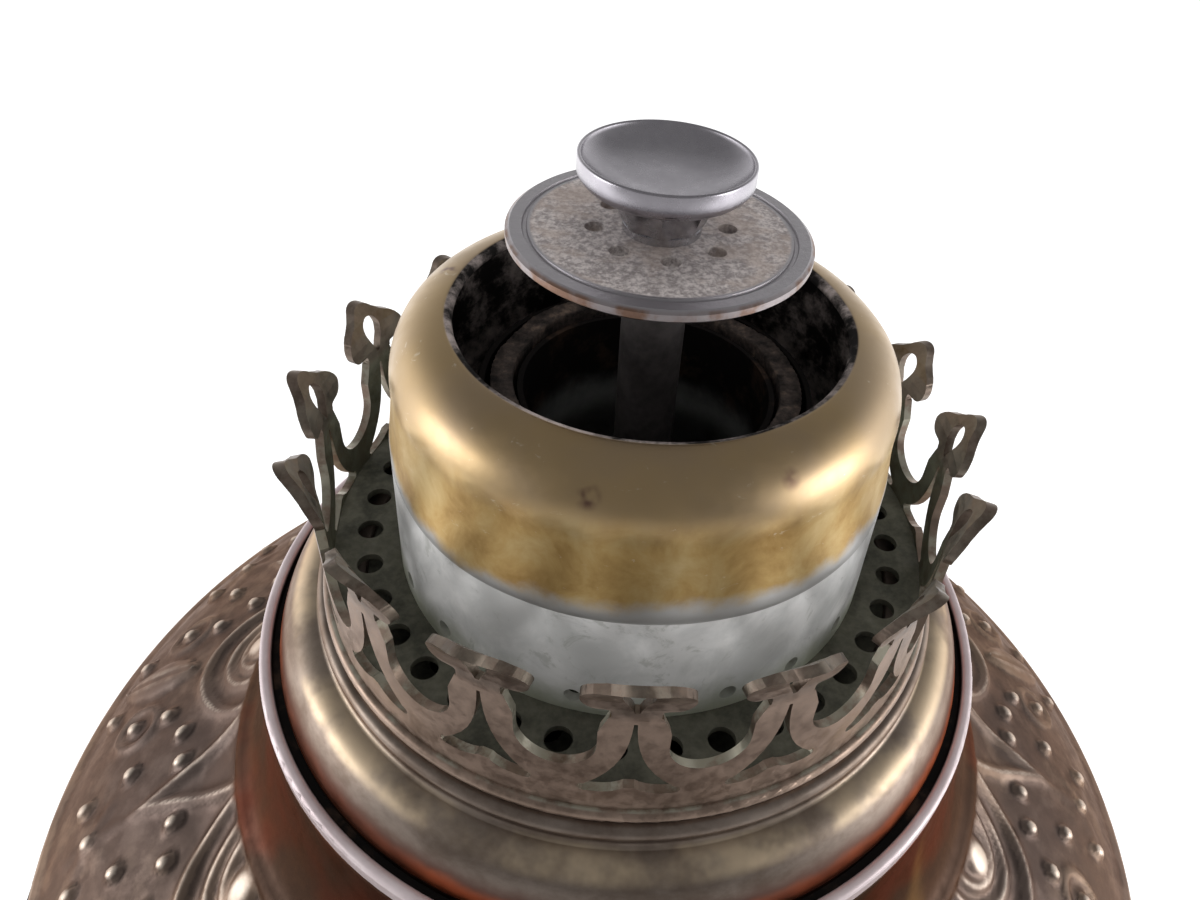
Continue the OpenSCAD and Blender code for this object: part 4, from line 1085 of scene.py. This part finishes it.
@dataclass
class Button:
    """The spreader's button: tapered underside, upright side, thin lip and a dished top."""

    low_z: float
    rim_z: float
    radius: float
    seat_radius: float = 5 * MM
    side: float = 1.8 * MM
    lip: float = 0.4 * MM
    dish: float = 1.9 * MM
    steps_round: int = 192

    def profile(self) -> np.ndarray:
        """Outline from the middle of the underside, round the lip, to the middle of the top."""
        side_z = self.rim_z - self.side
        under = bezier((self.seat_radius, self.low_z), (self.seat_radius + 1.6 * MM, self.low_z + 0.5 * MM),
                       (self.radius - 0.3 * MM, side_z - 0.7 * MM), (self.radius, side_z + 0.2 * MM), 16)
        edge = arc((self.radius - self.lip / 2, self.rim_z - self.lip / 2), self.lip / 2, 0.0, 180.0, 9)
        inner = self.radius - self.lip
        top = bezier((inner, self.rim_z - self.lip / 2), (inner * 0.8, self.rim_z - self.dish),
                     (inner * 0.45, self.rim_z - self.dish), (0.0, self.rim_z - self.dish), 28)
        return path_of([(0.0, self.low_z), (self.seat_radius * 0.5, self.low_z)], under, edge, top)

    def build(self, name: str) -> Object:
        """Make the button, closed at both poles.

        Args:
            name: Name of the object.

        Returns:
            The object.
        """
        profile = self.profile()
        grid, _ = spin(profile[1:-1], self.steps_round)
        rows, cols, _ = grid.shape
        poles = np.array([[0.0, 0.0, profile[0, 1]], [0.0, 0.0, profile[-1, 1]]])
        index = np.arange(rows * cols).reshape(rows, cols)
        after = np.roll(index, -1, axis=0)
        quads = np.stack([index[:, :-1], index[:, 1:], after[:, 1:], after[:, :-1]], axis=-1).reshape(-1, 4)
        low = np.stack([np.full(rows, rows * cols), index[:, 0], after[:, 0]], axis=-1)
        high = np.stack([index[:, -1], np.full(rows, rows * cols + 1), after[:, -1]], axis=-1)
        return new_object(name, np.vstack([grid.reshape(-1, 3), poles]), quads, np.vstack([low, high]))


@dataclass
class LeafRow:
    """One row of acanthus leaves round the bell of the capital."""

    foot_z: float
    height: float
    width: float
    reach: float
    radius: float
    count: int
    first: float
    thick: float = 1.2 * MM
    curl: float = 3.0 * MM
    lobes: int = 4
    steps_across: int = 25
    steps_up: int = 64

    def spine(self) -> np.ndarray:
        """Middle line of a leaf, as radius and height: up the bell, out, and over in a curl."""
        r, h = self.radius, self.height
        tip = r + self.reach - self.curl
        rise = bezier((r, 0.0), (r, h * 0.4), (r + 0.5 * MM, h * 0.8), (tip, h - 0.4 * MM), 40)
        over = arc((tip + 0.4 * MM, h - 0.4 * MM - self.curl), self.curl, 82.0, -35.0, 20)
        return resample(path_of(rise, over), self.steps_up)

    def build(self, name: str) -> Object:
        """Make the row.

        At the share v up a leaf, its half width is w (0.34 + 0.16 sin(pi v^0.8)), rounded off over
        the last fifth and nicked between the lobes. The surface stands out by a rib along the
        middle, by veins cos(2 pi (n v - |u|)) at the share u across, and by the square of u.

        Args:
            name: Name of the object.

        Returns:
            The object.
        """
        spine = self.spine()
        normal = profile_normals(spine)
        v = np.linspace(0.0, 1.0, self.steps_up)[:, None]
        u = np.linspace(-1.0, 1.0, self.steps_across)[None, :]
        half = self.width * (0.34 + 0.16 * np.sin(math.pi * v**0.8))
        half *= np.sqrt(np.clip(1 - (np.clip(v - 0.8, 0, None) / 0.202) ** 2, 0.02, 1))
        nick = np.exp(-(((np.mod(self.lobes * v, 1.0) - 0.02) / 0.12) ** 2)) + np.exp(-(((np.mod(self.lobes * v, 1.0) - 1.02) / 0.12) ** 2))
        half *= 1 - 0.3 * nick * smoothstep(v, 0.08, 0.16) * (1 - smoothstep(v, 0.86, 0.94))
        x = u * half
        veins = np.cos(2 * math.pi * (self.lobes * v - 1.2 * np.abs(u))) * smoothstep(np.abs(u), 0.08, 0.4)
        lift = 0.7 * MM * np.exp(-((x / (0.9 * MM)) ** 2)) + 0.32 * MM * veins + 0.7 * MM * u**2 * np.sin(math.pi * v)
        side = spine[:, None, :] + normal[:, None, :] * (lift + self.thick / 2)[..., None]
        rear = spine[:, None, :] - normal[:, None, :] * (self.thick / 2) + 0 * side
        places = np.arange(self.count) * 2 * math.pi / self.count + self.first
        angle = places[:, None, None] + (x / spine[:, None, 0])[None]

        def grid(section: np.ndarray) -> np.ndarray:
            r, z = section[None, ..., 0], section[None, ..., 1] + self.foot_z
            return np.stack([np.sin(angle) * r, -np.cos(angle) * r, z + 0 * angle], axis=-1)

        return slab_mesh(name, grid(side), grid(rear))


@dataclass
class WickSleeve:
    """Woven wick: a sleeve with plaited ribs and a ragged, burnt top."""

    inner: float
    outer: float
    low: float
    high: float
    plaits: int = 60
    rib: float = 0.09 * MM
    steps_round: int = 480
    steps_up: int = 100

    def build(self, name: str) -> Object:
        """Make the sleeve.

        The wall is a closed loop of (radius, height). Ribs are sines that climb to the left on the
        outside and to the right on the inside, and the top is pulled down by a seeded, smoothed noise.

        Args:
            name: Name of the object.

        Returns:
            The object.
        """
        up = np.linspace(self.low, self.high, self.steps_up)
        loop = np.vstack([np.stack([np.full_like(up, self.outer - self.rib), up], 1),
                          np.stack([np.full_like(up, self.inner + self.rib), up[::-1]], 1)])
        grid, angle = spin(loop, self.steps_round)
        rng = np.random.default_rng(7)
        ragged = np.zeros(len(angle))
        for wave in (3, 7, 13, 29, 61):
            ragged += np.sin(wave * angle + rng.uniform(0, 2 * math.pi)) / wave**0.6
        ragged = 0.7 * MM * (ragged - ragged.max()) / (ragged.max() - ragged.min())
        share = (grid[..., 2] - self.low) / (self.high - self.low)
        grid[..., 2] += smoothstep(share, 0.86, 1.0) * ragged[:, None]
        slant = 2 * math.pi * (grid[..., 2] - self.low) / (2.4 * MM)
        weave = np.sin(self.plaits * angle[:, None] + slant) * np.sin(self.plaits * angle[:, None] - slant)
        sign = np.where(np.arange(loop.shape[0]) < self.steps_up, 1.0, -1.0)[None, :]
        push = sign * self.rib * weave
        grid[..., 0] += np.sin(angle)[:, None] * push
        grid[..., 1] -= np.cos(angle)[:, None] * push
        return ring_mesh(name, grid)


@dataclass(frozen=True)
class View:
    """The photograph's camera: a place, three angles and a focal length in pixels of a 1200 pixel frame."""

    place_mm: tuple[float, float, float] = (0.0, -77.64, 530.59)
    yaw: float = 2.475
    down: float = 40.787
    roll: float = 6.947
    focal_px: float = 921.586
    frame_px: float = 1200.0
    side_px: float = 71.37
    sensor_mm: float = 36.0

    def build(self) -> None:
        """Make the camera and set it as the scene's."""
        yaw, down, roll = (math.radians(a) for a in (self.yaw, self.down, self.roll))
        ahead = Vector((math.sin(yaw) * math.cos(down), math.cos(yaw) * math.cos(down), -math.sin(down)))
        right = ahead.cross(Vector((0, 0, 1))).normalized()
        up = right.cross(ahead)
        x_axis = math.cos(roll) * right + math.sin(roll) * up
        y_axis = -math.sin(roll) * right + math.cos(roll) * up
        data = bpy.data.cameras.new("camera")
        data.sensor_width = self.sensor_mm
        data.lens = self.focal_px / self.frame_px * self.sensor_mm
        data.shift_x = -self.side_px / self.frame_px
        data.clip_start = 5 * MM
        data.clip_end = 60.0
        camera = bpy.data.objects.new("camera", data)
        turn = Matrix((x_axis, y_axis, -ahead)).transposed().to_4x4()
        camera.matrix_world = Matrix.Translation(Vector(self.place_mm) * MM) @ turn
        bpy.context.scene.collection.objects.link(camera)
        bpy.context.scene.camera = camera


@dataclass(frozen=True)
class Softbox:
    """One square lamp: the direction it stands in from the burner, its distance, side and power."""

    name: str
    towards: tuple[float, float, float]
    distance: float
    side: float
    power: float
    target: tuple[float, float, float] = (0.0, 0.0, 0.46)
    mirrored: bool = True

    def build(self) -> None:
        """Make the lamp. One that isn't mirrored lights the lamp but shows in no metal."""
        data = bpy.data.lights.new(self.name, "AREA")
        data.shape = "SQUARE"
        data.size = self.side
        data.energy = self.power
        lamp = bpy.data.objects.new(self.name, data)
        direction = Vector(self.towards).normalized()
        lamp.location = Vector(self.target) + direction * self.distance
        lamp.rotation_euler = (-direction).to_track_quat("-Z", "Y").to_euler()
        lamp.visible_glossy = self.mirrored
        bpy.context.scene.collection.objects.link(lamp)


@dataclass(frozen=True)
class Studio:
    """White floor and backdrop, a world that is bright low down and at both sides, and the softboxes."""

    reach: float = 14.0
    fill: float = 0.62
    dim: float = 0.24
    low_glow: float = 0.75
    side_glow: float = 0.8
    lamps: tuple[Softbox, ...] = (
        Softbox("softbox_left", (-0.98, -0.17, 0.02), 1.3, 0.62, 4.2),
        Softbox("softbox_right", (0.98, -0.17, 0.02), 1.3, 0.62, 5.4),
        Softbox("softbox_top", (0.05, 0.35, 0.93), 1.5, 0.7, 3.0, mirrored=False),
    )

    def build(self) -> None:
        """Make the lamps, the floor and the world."""
        for lamp in self.lamps:
            lamp.build()
        self.build_floor()
        self.build_world()

    def build_floor(self) -> None:
        """Make the floor: white to the camera, and in metal darker near the lamp's front."""
        r = self.reach
        mesh = bpy.data.meshes.new("floor")
        mesh.from_pydata([(-r, -r, 0), (r, -r, 0), (r, r, 0), (-r, r, 0)], [], [(0, 1, 2, 3)])
        floor = bpy.data.objects.new("floor", mesh)
        bpy.context.scene.collection.objects.link(floor)
        tree = Tree("white_floor")
        tree.set(Base_Color=(0.82, 0.82, 0.82, 1.0), Roughness=0.9)
        paths = tree.nodes.new("ShaderNodeLightPath")
        split = tree.nodes.new("ShaderNodeSeparateXYZ")
        tree.links.new(tree.place, split.inputs[0])
        sideways = tree.nodes.new("ShaderNodeMath")
        sideways.operation = "ABSOLUTE"
        tree.links.new(split.outputs["X"], sideways.inputs[0])
        away = tree.band(split.outputs["Y"], -0.7, -0.1)
        bright = tree.maths("MULTIPLY", tree.band(sideways.outputs[0], 0.15, 0.7, 0.35, 1.0), away)
        mirrored = tree.maths("MULTIPLY", paths.outputs["Is Glossy Ray"], bright)
        seen = tree.maths("MAXIMUM", paths.outputs["Is Camera Ray"], paths.outputs["Is Transmission Ray"])
        tree.shader.inputs["Emission Color"].default_value = (1.0, 1.0, 1.0, 1.0)
        tree.feed(tree.maths("MAXIMUM", tree.maths("MULTIPLY", seen, 0.6), mirrored), "Emission Strength")
        mesh.materials.append(tree.material)

    def build_world(self) -> None:
        """Make the world: white to the camera, an even fill, and what metal mirrors.

        Along a direction (x, y, z), metal mirrors dim + low (low_glow away + side_glow side), where
        low falls from 1 at z = 0 to 0 at z = 0.75, away rises from the camera's side to the back,
        and side rises where |x| nears 1.
        """
        world = bpy.data.worlds.new("pale_room")
        bpy.context.scene.world = world
        world.use_nodes = True
        nodes, links = world.node_tree.nodes, world.node_tree.links

        def maths(operation: str, *values: Socket | float) -> Socket:
            node = nodes.new("ShaderNodeMath")
            node.operation = operation
            for socket, value in zip(node.inputs, values):
                if isinstance(value, Socket):
                    links.new(value, socket)
                else:
                    socket.default_value = value
            return node.outputs[0]

        def rise(value: Socket, low: float, high: float) -> Socket:
            node = nodes.new("ShaderNodeMapRange")
            node.interpolation_type = "SMOOTHSTEP"
            node.inputs["From Min"].default_value = low
            node.inputs["From Max"].default_value = high
            links.new(value, node.inputs["Value"])
            return node.outputs["Result"]

        split = nodes.new("ShaderNodeSeparateXYZ")
        links.new(nodes.new("ShaderNodeTexCoord").outputs["Generated"], split.inputs[0])
        x, y, z = split.outputs
        low = rise(z, 0.75, 0.0)
        away = maths("MULTIPLY", rise(y, -0.75, -0.1), self.low_glow)
        side = maths("MULTIPLY", rise(maths("ABSOLUTE", x), 0.7, 0.98), self.side_glow)
        mirrored = maths("ADD", maths("MULTIPLY", low, maths("ADD", away, side)), self.dim)
        paths = nodes.new("ShaderNodeLightPath")
        direct = maths("MAXIMUM", paths.outputs["Is Camera Ray"], paths.outputs["Is Transmission Ray"])
        strength = nodes["Background"].inputs["Strength"]
        glossy, shown = nodes.new("ShaderNodeMix"), nodes.new("ShaderNodeMix")
        glossy.inputs["A"].default_value = self.fill
        links.new(paths.outputs["Is Glossy Ray"], glossy.inputs["Factor"])
        links.new(mirrored, glossy.inputs["B"])
        links.new(glossy.outputs["Result"], shown.inputs["A"])
        shown.inputs["B"].default_value = 1.0
        links.new(direct, shown.inputs["Factor"])
        links.new(shown.outputs["Result"], strength)
        nodes["Background"].inputs["Color"].default_value = (1.0, 1.0, 1.0, 1.0)


@dataclass(frozen=True)
class BurnerSizes:
    """Sizes of the turned burner pieces that their boxes don't give."""

    sheet: float = 0.8 * MM
    seat_radius: float = 35.6 * MM
    seat_hole: float = 31.4 * MM
    cap_sheet: float = 0.7 * MM
    cap_shoulder: float = 25.8 * MM
    cap_round: float = 6.2 * MM
    mouth_radius: float = 19.5 * MM
    rim_wall: float = 1.3 * MM
    head_up: float = 6.4 * MM
    dome_reach: float = 1.4 * MM


@dataclass(frozen=True)
class Spot:
    """Where a piece belongs: its body, a slot name that nothing reads, and the node that it replaces."""

    body: str
    slot: str
    node: str | None = None


class ColumnLamp:
    """The whole lamp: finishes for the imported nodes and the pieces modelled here."""

    def __init__(self, frame: dict) -> None:
        """Keep the frame.
        """
        self.nodes: dict[str, Object] = frame["nodes"]
        self.sizes = BurnerSizes()

    def dress(self, material: Material, names: tuple[str, ...]) -> None:
        """Give nodes one finish.

        Args:
            material: The finish.
            names: Names of the nodes.
        """
        for name in names:
            data = self.nodes[name].data
            data.materials.clear()
            data.materials.append(material)
        log.info("%s on %d nodes", material.name, len(names))

    def dress_nodes(self) -> None:
        """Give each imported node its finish."""
        for finish, names in NODE_FINISH.items():
            self.dress(finish.value.material(), names)
        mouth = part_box("wick_tube")[1].z
        sooted = replace(Finish.TINNED.value, name="sooted_tubes", soot_from=mouth - 14 * MM)
        self.dress(sooted.material(), ("draught_tube", "wick_tube", "wick_carrier"))
        disc = SpreaderMetal("spreader_disc_metal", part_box("spreader_disc")[1].x)
        self.dress(disc.material(), ("spreader_disc",))
        low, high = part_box("deflector_tube")
        self.dress(TinnedTube("tinned_deflector_sheet", low.z, high.z).material(), ("deflector_tube",))
        low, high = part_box("gallery_ring")
        neck_z = high.z - self.sizes.head_up
        self.dress(GalleryBronze("gallery_bronze", low.z, neck_z).material(), ("gallery_ring",))
        # Painted shade: the rim's inner side and its ledge are darkened in the soot colours.
        rim = replace(Finish.RIM_ROSE.value, shade_within=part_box("neck_rim")[1].x - self.sizes.rim_wall)
        self.dress(rim.material(), ("neck_rim",))

    def place(self, piece: Object, material: Material, spot: Spot) -> None:
        """Finish a piece and tie it to its body.

        Args:
            piece: The piece.
            material: Its finish.
            spot: Its body and the node that it replaces.
        """
        piece.data.materials.append(material)
        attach(piece, spot.body)
        if spot.node:
            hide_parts(spot.node)
        log.info("%s: %d faces", piece.name, len(piece.data.polygons))

    def build_vase(self) -> None:
        """Make the embossed shoulder and bowl in the place of the plain ones."""
        low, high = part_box("vase_shoulder")
        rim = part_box("neck_rim")[1]
        bronze = EmbossedBronze("embossed_bronze", rim.z - 20.4 * MM).material()
        shoulder = VaseShoulder(rim_z=rim.z, foot_z=low.z, foot_radius=high.x, neck_radius=rim.x, neck_top_z=high.z)
        self.place(shoulder.build("embossed_shoulder"), bronze, Spot("stand", "bronze", "vase_shoulder"))
        low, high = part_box("vase_bowl")
        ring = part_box("air_gallery")
        foot = ring[1].x - 3.0 * MM
        bowl = VaseBowl(low_z=low.z, high_z=high.z, foot_radius=foot, mouth_radius=foot - 3.0 * MM,
                        widest_radius=high.x, rubbed=0.66)
        self.place(bowl.build("gadrooned_bowl"), bronze, Spot("stand", "bronze", "vase_bowl"))

    def build_dome(self) -> None:
        """Make the dome: an upright foot, a broad roll, a cove, and a bead under the gallery's seat."""
        low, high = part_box("burner_dome")
        seat, top, foot = self.sizes.seat_radius, high.z, high.x + self.sizes.dome_reach
        roll = bezier((foot - 0.05 * MM, low.z + 0.9 * MM), (foot - 1.0 * MM, low.z + 4.4 * MM),
                      (seat + 3.6 * MM, top - 2.5 * MM), (seat + 1.2 * MM, top - 2.4 * MM), 48)
        bead = arc((seat, top - 1.0 * MM), 1.0 * MM, -48.0, 90.0, 14)
        outline = path_of([(foot, low.z), (foot, low.z + 0.7 * MM)], roll, bead, [(self.sizes.seat_hole, top)])
        piece = TurnedSheet(outline, self.sizes.sheet, dents=0.06 * MM).build("smooth_dome")
        brass = DomeBrass("dome_brass", low.z, top - 3.1 * MM)
        self.place(piece, brass.material(), Spot("burner", "burner_brass", "burner_dome"))

    def build_cap(self) -> None:
        """Make the deflector's cap: a wall, a broad rounding and a lip that dips to the mouth."""
        low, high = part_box("deflector_cap")
        round_r, mouth = self.sizes.cap_round, self.sizes.mouth_radius
        centre = (self.sizes.cap_shoulder - round_r, high.z - round_r)
        last = math.degrees(math.acos((mouth + 0.7 * MM - centre[0]) / round_r))
        wall = bezier((high.x, low.z + 1.6 * MM), (high.x - 0.2 * MM, low.z + 3.4 * MM),
                      (self.sizes.cap_shoulder, centre[1] - 3 * MM), (self.sizes.cap_shoulder, centre[1]), 20)
        shoulder = arc(centre, round_r, 0.0, last, 40)
        lip = [(mouth + 0.25 * MM, high.z - 0.15 * MM), (mouth, high.z - 0.5 * MM)]
        piece = TurnedSheet(path_of([(high.x, low.z)], wall, shoulder, lip), self.sizes.cap_sheet, dents=0.12 * MM, seed=11).build("smooth_cap")
        self.place(piece, CapBrass("cap_brass", low.z, high.z).material(), Spot("gallery", "cap_brass", "deflector_cap"))

    def build_button(self) -> None:
        """Make the spreader's button."""
        low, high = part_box("spreader_button")
        piece = Button(low.z, high.z, high.x).build("smooth_button")
        self.place(piece, Finish.BUTTON_METAL.value.material(), Spot("spreader", "gunmetal", "spreader_button"))

    def build_leaves(self) -> None:
        """Make both rows of leaves on the capital."""
        low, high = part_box("capital_leaves")
        bell = high.z - low.z
        radius = 20.2 * MM
        brass = Finish.BRASS_COLUMN.value.material()
        tall = LeafRow(low.z, bell, 12.6 * MM, 12 * MM, radius, 8, math.pi / 8)
        self.place(tall.build("tall_leaves"), brass, Spot("stand", "column_brass", "capital_leaves"))
        short = LeafRow(low.z, bell * 0.64, 13.4 * MM, 8 * MM, radius + 1.3 * MM, 8, 0.0)
        self.place(short.build("short_leaves"), brass, Spot("stand", "column_brass"))

    def build_wick(self) -> None:
        """Make the woven wick in the place of the plain one."""
        low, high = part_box("wick")
        piece = WickSleeve(inner=13.9 * MM, outer=high.x, low=low.z, high=high.z).build("wick_sleeve")
        self.place(piece, CharredCotton("charred_cotton", high.z).material(), Spot("wick", "cotton", "wick"))

    def build(self) -> None:
        """Dress the nodes, then make each piece."""
        self.dress_nodes()
        for make in (self.build_vase, self.build_dome, self.build_cap, self.build_button, self.build_leaves, self.build_wick):
            make()


def main() -> None:
    """Load the frame, build the lamp and the studio."""
    logging.basicConfig(level=logging.INFO, format="%(name)s: %(message)s")
    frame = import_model()
    bpy.context.scene.view_settings.view_transform = "Standard"
    View().build()
    Studio().build()
    ColumnLamp(frame).build()


if __name__ == "__main__":
    main()
